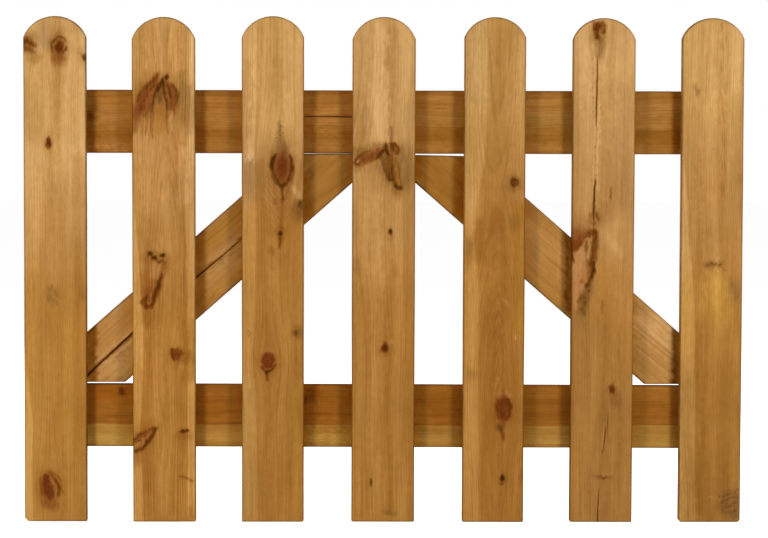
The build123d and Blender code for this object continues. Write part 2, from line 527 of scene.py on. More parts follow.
def relief(b, u, v, d, f):
    """How far each point moves inwards, mm: knots, grain and a planed surface that isn't quite flat."""
    face = smooth(2.0, 0.0, d)
    back = smooth(THICK - 2.0, THICK, d)
    deep = 0.12 if b.node.startswith("pale") else 0.34
    sink = face * (0.10 + 0.10 * fbm(u / 34.0, v / 150.0, b.seed + 40, 2))
    sink = sink + back * (deep + 0.09 * fbm(u / 30.0, v / 130.0, b.seed + 41, 2))
    core = smooth(0.8, -1.2, f["kd"])
    groove = np.exp(-((f["kd"] + 0.2) / 0.9) ** 2)
    sink = sink + (face + back) * (0.14 * groove + core * 0.08 * vnoise(u / 2.2, v / 2.2, b.seed + 42))
    sink = sink + face * 0.20 * smooth(0.6, -0.6, f["ink_and_crack_shade"])
    return np.clip(sink, 0.0, None)


def crack_cut(b, u, v, d):
    cut = np.zeros(u.shape)
    for pts, depth in b.cracks:
        sd = seg_dist(u, v, pts)
        hw = np.interp(v, *zip(*sorted([(p[1], p[2]) for p in pts])))
        k = np.clip(-sd / np.maximum(hw, 0.05), 0, 1)
        cut = np.maximum(cut, depth * np.minimum(1.0, hw / 1.2) * k ** 0.7 * (hw > 0.02))
    return cut * smooth(1.0, 0.0, d)


def make_board(b, look, seed):
    u, v, d, quads, caps, ends, npm, nr = build_mesh(b)
    f = fields(b, u, v, d)
    k = smooth(-1.0, 1.0, f["heart"])[:, None]
    wood = (np.array(look["sap"][:3]) * (1 - k) + np.array(look["heart"][:3]) * k) * np.array([0.86, 0.85, 0.82])
    stain, cover, tone = lay_colours(b, u, v, d, wood)
    sink = relief(b, u, v, d, f) * (1 - ends)
    cut = crack_cut(b, u, v, d) * (1 - ends)
    isback = d > THICK / 2
    d2 = np.where(isback, d - sink, d + sink + cut)
    # long edges wander a little inwards, cut ends are not dead straight
    half = b.width / 2
    edge = smooth(half - 6.0, half, np.abs(u))
    u2 = u - np.sign(u) * edge * (0.12 + 0.12 * fbm(v / 60.0, np.sign(u) * 3.0 + d * 0, b.seed + 50, 3)).clip(0, None)
    lo, hi = b.low(u), b.high(u)
    from_end = np.minimum(v - lo, hi - v)
    endm = smooth(1.2, 0.0, from_end)
    v2 = v + np.where(v - lo < hi - v, 1.0, -1.0) * endm * (0.16 + 0.10 * fbm(u / 9.0, d / 6.0, b.seed + 51, 3)).clip(0.08, None)
    pts = b.world(u2, v2, d2)

    me = bpy.data.meshes.new(b.node + "_board")
    nq = len(quads)
    sizes = np.concatenate([np.full(nq, 4), np.array([len(c) for c in caps])])
    loops = np.concatenate([quads.ravel(), np.array([i for c in caps for i in c])])
    me.vertices.add(len(pts))
    me.vertices.foreach_set("co", pts.astype(np.float32).ravel())
    me.loops.add(len(loops))
    me.loops.foreach_set("vertex_index", loops.astype(np.int32))
    me.polygons.add(len(sizes))
    starts = np.concatenate([[0], np.cumsum(sizes)[:-1]])
    me.polygons.foreach_set("loop_start", starts.astype(np.int32))
    me.polygons.foreach_set("use_smooth", np.ones(len(sizes), bool))
    me.update(calc_edges=True)
    me.validate()
    me.set_sharp_from_angle(angle=math.radians(38))

    def put(name, kind, data, prop):
        at = me.attributes.new(name, kind, "POINT")
        at.data.foreach_set(prop, np.ascontiguousarray(data, np.float32).ravel())

    put("grain", "FLOAT_VECTOR", np.stack([f["uw"], d, v], -1) / 10.0, "vector")
    put("place", "FLOAT_VECTOR", np.stack([u, d, v], -1) / 10.0, "vector")
    put("ring", "FLOAT", f["ring"], "value")
    put("ink_and_crack_shade", "FLOAT", f["ink_and_crack_shade"], "value")
    put("swirl", "FLOAT", np.exp(-np.clip(f["kd"], 0, 40) / 11.0) * (f["kd"] < 29.9), "value")
    put("heart", "FLOAT", f["heart"], "value")
    put("stain", "FLOAT_COLOR", np.concatenate([stain, cover[:, None]], -1), "color")
    put("tone", "FLOAT_COLOR", np.concatenate([tone, np.ones((len(u), 1))], -1), "color")
    # eased marks the rounded long edges and rimmed the rims at the ends, where the shader paints shade
    eased = smooth(half - 2.6, half - 0.2, np.abs(u)) * (1 - ends) * (0.15 if b.node.endswith("rail") else 1.0)
    narrow = smooth(1.0, 3.0, d) * smooth(1.0, 3.0, THICK - d)
    rimmed = smooth(np.where(v - lo < hi - v, 2.3, 2.9), 0.3, from_end) * (1 - ends) * (1 - narrow)
    put("end_stain_and_edge_shade", "FLOAT_VECTOR", np.stack([ends, eased, rimmed], -1), "vector")

    ob = bpy.data.objects.new(b.node + "_timber", me)
    bpy.context.collection.objects.link(ob)
    me.materials.append(pine("pine_" + b.node, seed=seed, **look))
    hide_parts(b.node)
    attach(ob, "root")
    return ob


# ------------------------------------------------------------------ wood material
class Graph:
    def __init__(self, name):
        self.mat = bpy.data.materials.new(name)
        self.mat.use_nodes = True
        self.t = self.mat.node_tree
        self.t.nodes.clear()
        self.out = self.t.nodes.new("ShaderNodeOutputMaterial")
        self.bsdf = self.t.nodes.new("ShaderNodeBsdfPrincipled")
        self.t.links.new(self.bsdf.outputs[0], self.out.inputs[0])

    def put(self, x, socket):
        if isinstance(x, bpy.types.NodeSocket):
            self.t.links.new(x, socket)
        else:
            socket.default_value = x

    def attr(self, name, out="Fac"):
        n = self.t.nodes.new("ShaderNodeAttribute")
        n.attribute_name = name
        return n.outputs[out]

    def math(self, op, a, b=0.0, c=0.0, clamp=False):
        n = self.t.nodes.new("ShaderNodeMath")
        n.operation, n.use_clamp = op, clamp
        for x, s in zip((a, b, c), n.inputs):
            self.put(x, s)
        return n.outputs[0]

    def vmul(self, v, by):
        n = self.t.nodes.new("ShaderNodeVectorMath")
        n.operation = "MULTIPLY"
        self.put(v, n.inputs[0])
        n.inputs[1].default_value = by
        return n.outputs[0]

    def xyz(self, v):
        n = self.t.nodes.new("ShaderNodeSeparateXYZ")
        self.put(v, n.inputs[0])
        return n.outputs

    def noise(self, v, detail=3.0, rough=0.55, warp=0.0, scale=1.0):
        n = self.t.nodes.new("ShaderNodeTexNoise")
        self.put(v, n.inputs["Vector"])
        n.inputs["Scale"].default_value = scale
        n.inputs["Detail"].default_value = detail
        n.inputs["Roughness"].default_value = rough
        n.inputs["Distortion"].default_value = warp
        return n.outputs[0]

    def noise1(self, w, detail=2.0):
        n = self.t.nodes.new("ShaderNodeTexNoise")
        n.noise_dimensions = "1D"
        self.put(w, n.inputs["W"])
        n.inputs["Scale"].default_value = 1.0
        n.inputs["Detail"].default_value = detail
        return n.outputs[0]

    def range(self, x, a, b, lo=0.0, hi=1.0, kind="SMOOTHSTEP"):
        n = self.t.nodes.new("ShaderNodeMapRange")
        n.interpolation_type = kind
        self.put(x, n.inputs[0])
        for s, val in zip(n.inputs[1:5], (a, b, lo, hi)):
            s.default_value = val
        return n.outputs[0]

    def mix(self, fac, a, b, blend="MIX"):
        n = self.t.nodes.new("ShaderNodeMix")
        n.data_type, n.blend_type = "RGBA", blend
        n.clamp_factor = True
        self.put(fac, n.inputs["Factor"])
        cols = [s for s in n.inputs if s.type == "RGBA"]
        self.put(a, cols[0])
        self.put(b, cols[1])
        return [s for s in n.outputs if s.type == "RGBA"][0]

    def curve(self, fac, stops):
        n = self.t.nodes.new("ShaderNodeValToRGB")
        self.put(fac, n.inputs[0])
        e = n.color_ramp.elements
        while len(e) < len(stops):
            e.new(0.5)
        for el, (p, c) in zip(e, stops):
            el.position = p
            el.color = (c, c, c, 1.0) if not isinstance(c, tuple) else c
        return n.outputs[0]

def warm(k, blue=1.0):
    """Dark fibres hold more of the stain, light ones less."""
    return (1 + 0.76 * k, 1 + 1.02 * k, 1 + 1.70 * blue * k, 1.0)


def pine(name, sap, heart, contrast=1.0, fine=1.0, blue=1.0, seed=0.0, rough=0.72):
    """Planed and stained softwood. sap and heart are the two woods."""
    g = Graph(name)
    co = g.attr("grain", "Vector")
    place = g.attr("place", "Vector")
    ring = g.attr("ring")
    ink_and_crack_shade = g.attr("ink_and_crack_shade")
    hrt = g.attr("heart")
    tone = g.attr("tone", "Color")
    swirl = g.attr("swirl")
    stain = g.t.nodes.new("ShaderNodeAttribute")
    stain.attribute_name = "stain"
    ends, eased, rimmed = g.xyz(g.attr("end_stain_and_edge_shade", "Vector"))

    fibre = g.noise(g.vmul(co, (5.5, 5.5, 0.07)), 6.0, 0.62, 0.12)
    hair = g.noise(g.vmul(co, (24.0, 24.0, 0.45)), 4.0, 0.6)
    patch = g.noise(g.vmul(co, (0.55, 0.55, 0.10)), 3.0, 0.5)
    mott = g.noise(g.vmul(co, (1.6, 1.6, 0.8)), 4.0, 0.6, 0.3)
    jag = g.noise(g.vmul(place, (6.0, 6.0, 2.2)), 4.0, 0.62)
    sway = g.noise(g.vmul(co, (1.1, 1.1, 0.05)), 2.0, 0.5)

    rg = g.math("MULTIPLY_ADD", sway, 0.6, ring)
    rg = g.math("ADD", rg, seed)
    tooth = g.math("FRACT", rg)
    dark = g.curve(tooth, [(0.0, 0.34), (0.12, 0.06), (0.42, 0.14), (0.74, 0.70), (0.90, 1.0), (1.0, 0.50)])
    amp = g.range(g.noise1(g.math("MULTIPLY", rg, 0.83), 1.0), 0.30, 0.72, 0.08, 1.0)
    amp = g.math("MULTIPLY", amp, g.range(g.noise(g.vmul(co, (0.9, 0.9, 0.12)), 2.0, 0.5), 0.32, 0.66, 0.35, 1.0))
    amp = g.math("MAXIMUM", amp, g.math("MULTIPLY", swirl, 0.85))
    band = g.noise1(g.math("MULTIPLY", rg, 0.11), 2.0)

    inheart = g.range(hrt, -1.0, 1.0)
    base = g.mix(inheart, sap, heart)
    base = g.mix(g.range(band, 0.32, 0.72, 0.0, 0.60 * contrast), base, (0.80, 0.70, 0.56, 1.0), "MULTIPLY")
    base = g.mix(g.math("MULTIPLY", g.math("MULTIPLY", dark, amp), 0.52 * contrast), base, (0.66, 0.54, 0.40, 1.0), "MULTIPLY")
    base = g.mix(1.0, base, tone, "MULTIPLY")
    base = g.mix(1.0, base, g.curve(patch, [(0.26, (0.86, 0.84, 0.78, 1.0)), (0.50, (1.0, 1.0, 1.0, 1.0)), (0.76, (1.09, 1.11, 1.16, 1.0))]), "MULTIPLY")
    base = g.mix(0.8, base, g.curve(mott, [(0.25, warm(-0.14)), (0.5, warm(0.0)), (0.75, warm(0.10))]), "MULTIPLY")

    # knots and stains lie in the wood: ragged at their edges, and the fibres go on through them
    cover = stain.outputs["Alpha"]
    torn = g.t.nodes.new("ShaderNodeGamma")
    g.put(stain.outputs["Color"], torn.inputs[0])
    g.put(g.range(jag, 0.25, 0.75, 0.66, 1.34, "LINEAR"), torn.inputs[1])
    base = g.mix(1.0, base, torn.outputs[0], "MULTIPLY")
    base = g.mix(g.math("MULTIPLY", cover, 0.30), base, g.curve(jag, [(0.28, 1.16), (0.5, 1.0), (0.72, 0.84)]), "MULTIPLY")
    base = g.mix(min(1.0, 0.85 * fine), base, g.curve(fibre, [(0.24, warm(-0.18 * max(1.0, 0.85 * fine), blue)), (0.50, warm(0.0)), (0.76, warm(0.14 * max(1.0, 0.85 * fine), blue))]), "MULTIPLY")
    base = g.mix(min(1.0, 0.65 * fine), base, g.curve(hair, [(0.25, warm(-0.16 * max(1.0, 0.65 * fine), blue)), (0.5, warm(0.0)), (0.75, warm(0.12 * max(1.0, 0.65 * fine), blue))]), "MULTIPLY")
    # cracks are painted nearly black inside, with a darker margin round them: painted shade of their recess
    line = g.math("MULTIPLY_ADD", g.math("SUBTRACT", jag, 0.5), 1.4, ink_and_crack_shade)
    base = g.mix(g.range(line, 2.6, 0.0, 0.0, 0.45), base, (0.52, 0.40, 0.28, 1.0), "MULTIPLY")
    inked = g.range(line, 0.80, -0.50)
    base = g.mix(g.math("MULTIPLY", inked, 0.86), base, (0.040, 0.015, 0.004, 1.0))

    # sawn ends drink more stain; painted shade darkens the rounded arrises and the rims of the heads, broken up by
    # noise
    base = g.mix(g.math("MULTIPLY", ends, 0.85), base, (0.46, 0.37, 0.28, 1.0), "MULTIPLY")
    patchy = g.range(mott, 0.30, 0.66, 0.55, 1.0)
    base = g.mix(g.math("MULTIPLY", eased, patchy), base, (0.44, 0.38, 0.30, 1.0), "MULTIPLY")
    base = g.mix(g.math("MULTIPLY", rimmed, patchy), base, (0.32, 0.28, 0.23, 1.0), "MULTIPLY")
    g.put(base, g.bsdf.inputs["Base Color"])

    ro = g.math("MULTIPLY_ADD", fibre, 0.20, rough - 0.10)
    ro = g.math("MULTIPLY_ADD", cover, -0.08, ro)
    g.put(ro, g.bsdf.inputs["Roughness"])
    g.bsdf.inputs["Specular IOR Level"].default_value = 0.02

    h = g.math("MULTIPLY", g.math("MULTIPLY", dark, amp), 0.40)
    h = g.math("MULTIPLY_ADD", fibre, 0.9, h)
    h = g.math("MULTIPLY_ADD", hair, 0.5, h)
    h = g.math("MULTIPLY_ADD", g.math("MULTIPLY", cover, jag), 0.5, h)
    bump = g.t.nodes.new("ShaderNodeBump")
    bump.inputs["Strength"].default_value = 0.5
    bump.inputs["Distance"].default_value = 0.00035
    g.put(h, bump.inputs["Height"])
    g.put(bump.outputs[0], g.bsdf.inputs["Normal"])
    return g.mat


# ------------------------------------------------------------------ the boards
boards = {}
for n, (xf, xh, w, foot, head, bl, br) in enumerate(PALES, 1):
    length = head - foot
    lean = math.degrees(math.atan2(xh - xf, length))

    def low(u, w=w, bl=bl, br=br):
        return np.maximum(0.0, np.maximum(-w / 2 + bl - u, u - (w / 2 - br)))

    def high(u, length=length):
        return length - TOP_RADIUS + np.sqrt(np.maximum(TOP_RADIUS**2 - np.square(u), 0.0))

    boards[f"pale_{n}"] = Board(f"pale_{n}", (xf, FOOT_Z + foot), lean, w, FRONT, low, high, 100 * n)

for k, (node, (mid, tilt)) in enumerate(RAILS.items()):
    boards[node] = Board(node, (0.0, FOOT_Z + mid), 90 + tilt, RAIL_WIDTH, BACK_OF_PALES,
                         lambda u: u * 0 - RAIL_LENGTH / 2, lambda u: u * 0 + RAIL_LENGTH / 2, 900 + 50 * k)

for k, (node, (slope, w, cross, top, st, foot, sf, side)) in enumerate(BRACES.items()):
    a = math.radians(slope)
    mx = -200.0
    mz = cross + mx * math.tan(a) + w / 2 / math.cos(a)
    st, sf = math.tan(math.radians(st)), math.tan(math.radians(sf))
    b = Board(node, (-side * mx * -1 if side < 0 else -mx, FOOT_Z + mz), 90 - slope if side < 0 else 90 + slope, w,
              BACK_OF_PALES, None, None, 1200 + 50 * k)
    b.ox = mx if side < 0 else -mx

    def cut(u, b, at, skew, shift, side):
        """v where the board meets the line z = at + skew * (shift + x on the left side)."""
        m = skew if side < 0 else -skew
        c = FOOT_Z + at + skew * shift
        return (c + m * b.ox - b.oz + u * (m * b.U[0] - b.U[1])) / (b.V[1] - m * b.V[0])

    def toe(u, b, side):
        return (side * TOE - b.ox - u * b.U[0]) / b.V[0]

    if side < 0:
        b.high = lambda u, b=b, t=top, s=st: np.minimum(cut(u, b, t, s, 60.0, -1), toe(u, b, -1))
        b.low = lambda u, b=b, t=foot, s=sf: cut(u, b, t, s, 440.0, -1)
    else:
        b.low = lambda u, b=b, t=top, s=st: np.maximum(cut(u, b, t, s, 60.0, 1), toe(u, b, 1))
        b.high = lambda u, b=b, t=foot, s=sf: cut(u, b, t, s, 440.0, 1)
    boards[node] = b
for b in boards.values():
    b.fine = 1.0

# ------------------------------------------------------------------ knots, checks and stains, by the photo
p = boards["pale_1"]
p.pith = dict(u=-120.0, d=95.0, s=2.6)
p.fade = (150, 240, 300)
p.edge(-1, [(18, 60), (22, 330), (29, 385), (33, 430), (34, 520)], 1.8)
p.wash("tan", [(58, 62, 5), (57, 100, 4.5), (54, 125, 4.5), (52, 150, 3.5), (50, 205, 2.5)], 1.00, 4)
p.wash("tan", [(58, 70, 3), (56.5, 118, 3)], 0.50, 3)
p.wash("tan", [(31, 60, 6), (31, 135, 6)], 0.75, 6)
p.wash("pale", [(79, 40, 8), (81, 150, 6)], 0.75, 7)
p.wash("pale", [(66, 150, 10), (72, 230, 8)], 0.35, 8)
p.wash("pale", [(37, 150, 7), (38, 235, 7)], 0.35, 6)
p.wash("grey", [(45, 24, 7), (46, 44, 6)], 0.45, 5)
p.wash("gold", [(68, 325, 13), (68, 440, 13)], 0.40, 9)
p.veil("smoke", 28, 43, 10, 11, 0.85, 6)
p.veil("brown", 32, 35, 6, 6, 0.65, 4)
p.veil("brown", 34, 57, 7, 6, 1.00, 4)
p.veil("tan", 34, 57, 6, 5, 0.70, 4)
p.veil("tan", 83, 64, 4, 6, 0.90, 3)
p.veil("pale", 79, 219, 5, 14, 0.80, 5)
p.veil("grey", 45, 36, 8, 12, 0.50, 6)
p.grow(27, 44.5, 7, 6)
p.oval("sienna", 27.0, 45.0, 7.0, 7.0, 0.70, 3.0)
p.dab("umber", [(24, 40, 2.6), (28, 41, 2.4), (32, 44, 1.5), (35, 46, 0.7)], 0.74, 2.0)
p.dab("umber", [(25, 48.5, 1.4), (30, 49.5, 1.6), (34, 52, 0.8)], 0.60, 1.6)
p.dab("ink_and_crack_shade", [(26.5, 40, 0.8), (30.5, 43, 0.6)], 0.45, 1.2)
p.grow(58.7, 47.4, 6, 9)
p.veil("brown", 58.5, 48, 10.5, 14, 0.90, 5)
p.veil("tan", 57, 32, 8, 6, 0.60, 4)
p.oval("sienna", 58.6, 47.5, 6.2, 8.6, 0.35, 2.0)
p.oval("rust", 58.6, 47.6, 4.0, 6.2, 0.95, 1.5)
p.oval("umber", 58.4, 46.6, 2.9, 4.4, 0.66, 1.6)
p.dab("umber", [(52.2, 52, 0.5), (51.2, 48, 0.8), (51.4, 44, 1.0), (53.4, 40.0, 0.9), (57.5, 37.4, 0.7), (62.5, 38.0, 0.7), (65.6, 41, 0.5)], 0.66, 1.0)
p.dab("dusk", [(49.6, 45, 0.3), (51.4, 38.5, 0.5), (57, 34.6, 0.4)], 0.50, 0.8)
p.dab("umber", [(66, 46.5, 0.5), (65, 50.5, 1.1), (64, 52.8, 0.8)], 0.75, 1.0)
p.dab("sienna", [(54, 55.5, 3.0), (62, 56.5, 3.5)], 0.42, 2.5)
p.dab("sienna", [(58, 60.5, 5.5)], 0.34, 3.5)
p.dab("dusk", [(55, 34.5, 0.4), (57.5, 31.5, 0.6), (60, 34, 0.4)], 0.45, 1.0)
p.veil("brown", 81.5, 54, 4, 7, 0.60, 3)
p.oval("umber", 84.6, 57.6, 1.9, 2.6, 0.92, 1.5)
p.dab("dusk", [(80.5, 53, 0.8), (82.5, 56, 1.2)], 0.45, 1.6)
p.veil("brown", 48.8, 144, 4.5, 11, 0.60, 3)
p.oval("rust", 48.8, 142.4, 2.8, 4.8, 0.90, 1.3)
p.oval("ink_and_crack_shade", 48.8, 143.0, 1.5, 2.8, 0.66, 1.2)
p.dab("umber", [(46.4, 140, 0.3), (48.4, 136, 0.5), (50.4, 139, 0.3)], 0.50, 0.8)
p.dab("umber", [(46.2, 146.5, 0.6), (48, 148.5, 0.6)], 0.45, 1.0)
p.grow(48.8, 142, 3, 5)
p.veil("grey", 52, 295, 7, 10, 0.80, 5)
for x0, y0, x1, y1 in ((47, 286, 50, 292), (52, 284.5, 50.5, 291), (49, 294, 53, 300), (54, 290, 57, 296), (46.5, 296, 49, 302), (55, 299, 58, 304)):
    p.dab("dusk", [(x0, y0, 0.35), ((x0 + x1) / 2 + 0.4, (y0 + y1) / 2, 0.6), (x1, y1, 0.3)], 0.58, 0.9)
p.veil("smoke", 83, 296, 3, 7, 0.45, 3)
p.grow(48.7, 487, 6, 11)
p.veil("brown", 49, 488, 14, 20, 0.55, 7)
p.veil("red", 49, 488, 10, 16, 0.80, 5)
p.dab("rust", [(45.6, 477.5, 3.2), (47.0, 484, 4.9), (49.4, 491, 5.6), (50.6, 496.5, 3.6)], 0.97, 1.1)
p.dab("umber", [(46.4, 482, 2), (50, 493, 2.4)], 0.16, 3)
p.dab("sienna", [(46, 503, 4), (52, 504.5, 5.5), (56, 505.5, 3)], 0.60, 3)
p.dab("buff", [(51.5, 478.5, 0.6), (55.3, 485, 0.9), (56.6, 492, 0.6)], 0.25, 1.0)
p.dab("umber", [(49.0, 471.5, 0.4), (52.4, 476.4, 0.8), (55.6, 481.0, 1.0), (58.4, 486, 1.2), (59.2, 490.5, 1.1), (58.6, 495, 0.8)], 0.72, 1.1)
p.dab("umber", [(51, 471, 0.3), (56, 475.8, 0.6), (60.5, 482, 0.4)], 0.50, 0.9)
p.dab("umber", [(61, 487, 0.5), (63, 493, 0.3)], 0.45, 0.9)
p.dab("umber", [(40.0, 478, 0.6), (39.8, 485, 0.7), (42.2, 492, 0.5), (45, 497, 0.4)], 0.45, 1.1)

p = boards["pale_2"]
p.pith = dict(u=2.0, d=0, d_at=([0, 200, 330, 470, 560, 704], [22, 17, 16, 24, 31, 24]), s=2.6)
p.fade = (-70, 215, 330)
p.edge(-1, [(130, 40), (132, 190), (139, 255), (141, 300), (143, 330), (142, 380), (141, 420), (142, 460), (144, 521)], 1.3)
p.edge(1, [(190, 40), (189, 120), (186, 150), (185, 200), (187, 300), (187.5, 420), (188, 470), (187, 521)], 1.8)
p.wash("pale", [(158, 142, 20), (158, 196, 20)], 0.80, 14)
p.wash("pale", [(182, 150, 5), (183, 200, 5)], 0.80, 3)
p.wash("tan", [(137, 150, 3), (137, 205, 3)], 0.70, 3)
p.wash("tan", [(172, 140, 5), (174, 205, 4)], 0.50, 4)
p.wash("tan", [(145, 215, 4), (145, 255, 4)], 0.60, 4)
p.wash("tan", [(182, 215, 3), (182, 330, 3)], 0.50, 3)
p.wash("pale", [(157, 20, 7), (157, 66, 6)], 0.35, 5)
p.wash("tan", [(184, 30, 3), (185, 70, 3)], 0.55, 4)
p.wash("light", [(160, 22, 32), (160, 66, 32)], 0.60, 10)
p.wash("light", [(174, 24, 5), (175, 66, 5)], 0.90, 4)
p.wash("light", [(164, 335, 34), (164, 520, 34)], 0.25, 10)
p.wash("red", [(150, 320, 5), (152, 400, 4)], 0.25, 5)
p.wash("pale", [(143, 330, 3), (144, 380, 3)], 0.60, 4)
p.wash("pale", [(160, 330, 4), (162, 510, 5)], 0.42, 5)
p.wash("tan", [(184, 325, 6), (186, 378, 6)], 0.70, 5)
p.wash("brown", [(192, 325, 4), (193, 378, 4)], 0.70, 4)
p.wash("brown", [(139, 28, 5), (139, 95, 5)], 0.75, 5)
p.wash("smoke", [(190, 88, 5), (190, 128, 5)], 0.70, 6)
p.wash("brown", [(152, 262, 10), (152, 315, 9)], 0.40, 8)
p.wash("tan", [(172, 262, 8), (172, 315, 8)], 0.35, 8)
for gx, gy in ((147, 96), (172, 96)):
    p.grow(gx, gy, 7, 15, 0.45, False)
p.veil("brown", 156, 112, 30, 30, 0.45, 12)
p.veil("brown", 155, 97, 24, 23, 0.80, 9)
p.dab("olive", [(183, 74, 2.5), (184, 95, 4.5), (183, 120, 3.5)], 0.60, 3.5)
p.dab("sienna", [(135.5, 104, 3), (135.5, 117, 3.6), (134, 130, 2.4)], 0.78, 3.4)
p.dab("sienna", [(157, 75, 1.4), (152, 84, 4), (147.5, 93, 6.6), (143, 102, 7.4), (139, 111, 5.0), (136, 118, 2)], 0.88, 2.2)
p.dab("rust", [(148, 92, 1.0), (144, 99, 2.4), (140.5, 106, 3.6), (138.5, 111, 2.4)], 0.50, 2.4)
p.dab("blush", [(154, 87, 0.8), (150.5, 95, 1.6), (147, 104, 2.0)], 0.50, 1.5)
p.dab("umber", [(158, 74, 0.6), (152.5, 80, 1.1), (146.5, 87, 1.2), (141, 93.5, 1.2), (137, 101, 0.9)], 0.55, 1.7)
p.dab("umber", [(157, 83.5, 0.7), (153.5, 86.5, 0.8), (150.5, 90, 0.5)], 0.60, 1.0)
p.dab("umber", [(150.5, 104, 0.6), (147.5, 111, 0.9), (143.5, 117, 0.5)], 0.45, 1.3)
p.dab("dusk", [(161, 82, 1.5), (160, 90, 3.6), (159.4, 98, 3.4), (159.4, 103, 1.6)], 0.74, 1.6)
for sx, sy in ((159, 91), (161.5, 94), (158.5, 97), (161, 99.5)):
    p.dab("umber", [(sx, sy, 0.5)], 0.50, 0.9)
p.dab("sienna", [(166, 80, 1.5), (169.5, 90, 4.2), (172, 99, 5), (173.0, 107, 3.4), (173.0, 113, 1.4)], 0.74, 2.4)
p.dab("rose", [(165.6, 83, 0.9), (167.2, 91, 1.2), (168.6, 99, 1.3)], 0.55, 1.3)
p.dab("blush", [(172.4, 89, 0.8), (174.4, 97, 1.2), (173.6, 104, 1.0)], 0.50, 1.2)
p.dab("ink_and_crack_shade", [(161.8, 80.0, 1.4), (158.2, 87, 1.9), (155.0, 94, 1.5), (153.2, 101, 1.0), (151.4, 111, 0.4)], 0.66, 1.2)
p.dab("ink_and_crack_shade", [(162.4, 80, 1.4), (164.0, 88, 1.5), (165.0, 96, 1.2), (166.2, 103, 0.8), (167.4, 110, 0.4)], 0.58, 1.2)
p.dab("umber", [(167.2, 84.5, 0.7), (169.2, 90, 1.1), (171.0, 96.5, 0.8)], 0.75, 1.1)
p.dab("umber", [(172.5, 84.5, 0.7), (175.8, 89.5, 1.2), (177.4, 95.5, 1.3), (176.4, 101.5, 0.8), (174.6, 106, 0.4)], 0.66, 1.6)
p.oval("umber", 167.4, 77.4, 2.4, 2.4, 0.60, 1.4)
p.oval("ink_and_crack_shade", 167.6, 77.4, 1.4, 1.5, 0.62, 1.0)
p.dab("umber", [(162, 78.5, 0.8), (166, 77.2, 1.0)], 0.45, 1.2)
p.dab("rose", [(159, 72.5, 1.8), (163, 74.5, 1.4)], 0.55, 1.6)
p.dab("amber", [(160, 108, 3.5), (160, 128, 4.5)], 0.50, 3)
p.dab("buff", [(171, 112, 1.2), (170.5, 120, 1.4), (171.5, 130, 0.9)], 0.60, 1.2)
p.dab("buff", [(162.5, 112, 0.7), (163, 128, 0.7)], 0.40, 1.0)
p.dab("sienna", [(147, 112, 1.0), (146, 134, 0.6)], 0.62, 1.3)
p.dab("sienna", [(152.6, 106, 1.1), (152.0, 138, 0.6)], 0.66, 1.2)
p.dab("sienna", [(167.0, 112, 0.8), (167.2, 134, 0.5)], 0.58, 1.1)
p.dab("sienna", [(142, 120, 0.7), (141.6, 140, 0.5)], 0.40, 1.2)
p.grow(156, 258, 7, 4, 0.5, False)
p.veil("brown", 156.5, 258, 11.5, 7.5, 0.80, 4)
p.veil("brown", 167, 268, 3.5, 8, 0.90, 3)
p.veil("red", 147, 288, 6.5, 20, 0.75, 4)
p.dab("rose", [(155, 264, 3), (152.5, 276, 3.5)], 0.55, 2.5)
p.oval("ink_and_crack_shade", 150.2, 253.5, 2.0, 1.9, 0.78, 1.1)
p.oval("ink_and_crack_shade", 154.6, 258.0, 2.9, 2.1, 0.86, 1.1, 20)
p.oval("ink_and_crack_shade", 163.2, 256.0, 2.1, 1.9, 0.82, 1.1)
p.oval("umber", 160.0, 261.6, 2.2, 1.5, 0.60, 1.3)
p.dab("umber", [(163.2, 259.5, 0.8), (164.6, 264.5, 1.2)], 0.60, 1.3)
p.grow(156, 288, 4, 16, 0.5, False)
p.dab("sienna", [(153, 282, 2.4), (149, 292, 4.0), (147.5, 302, 4.0)], 0.50, 2.4)
p.dab("sienna", [(164, 264, 1.6), (162.6, 271, 2.2), (160.2, 279, 2.6), (157.4, 289, 3.4), (153.5, 300, 3.2), (151, 306, 2)], 0.75, 1.8)
p.dab("umber", [(161.6, 274, 0.7), (159.4, 281, 1.2), (156.6, 290, 1.9), (154.4, 297, 2.1), (152.4, 304, 1.8)], 0.82, 1.2)
p.dab("rust", [(156.4, 290.5, 1.0), (154.8, 294, 0.9)], 0.60, 1.0)
p.dab("ink_and_crack_shade", [(158.6, 284, 0.6), (157.0, 289, 0.7)], 0.50, 0.9)
p.dab("sienna", [(151.5, 288, 1.2), (148, 297, 1.8), (144.5, 304, 2.8), (146, 307.5, 2.4)], 0.75, 1.6)
p.dab("umber", [(147.0, 296, 0.8), (143.2, 302.5, 2.2), (145.5, 307.0, 1.9), (151, 306, 1.5)], 0.62, 1.6)
p.dab("rust", [(144.5, 304, 1.2), (147, 307, 1.2)], 0.55, 1.2)
p.dab("rose", [(150.5, 294, 0.8), (149.5, 303, 1.2)], 0.55, 1.0)
p.dab("buff", [(150.3, 297, 0.5), (147.6, 303, 0.5)], 0.60, 0.6)
p.dab("ink_and_crack_shade", [(149.9, 297.5, 0.4), (148.8, 301.5, 0.4)], 0.65, 0.6)
p.wash("brown", [(148, 312, 4), (149, 326, 3)], 0.50, 3)
p.grow(176, 354.8, 5, 6.5)
p.veil("brown", 177, 357, 10, 11, 0.80, 4.5)
p.veil("brown", 191, 357, 4, 7, 0.85, 3)
p.oval("rust", 176, 354.8, 4.8, 6.3, 0.85, 1.5)
p.dab("umber", [(172.6, 349.5, 0.9), (172.0, 354, 1.3), (173.8, 360, 0.9)], 0.80, 1.1)
p.dab("umber", [(175.8, 349, 0.7), (176.2, 355, 0.7)], 0.50, 1.0)
p.dab("umber", [(181.6, 350.5, 0.6), (183.4, 354.5, 0.9)], 0.65, 1.1)
p.oval("buff", 181, 365.5, 3.5, 3.5, 0.35, 2)
p.grow(146, 439, 10, 7, 0.5, False)
p.veil("brown", 145, 440, 15, 11, 0.55, 5)
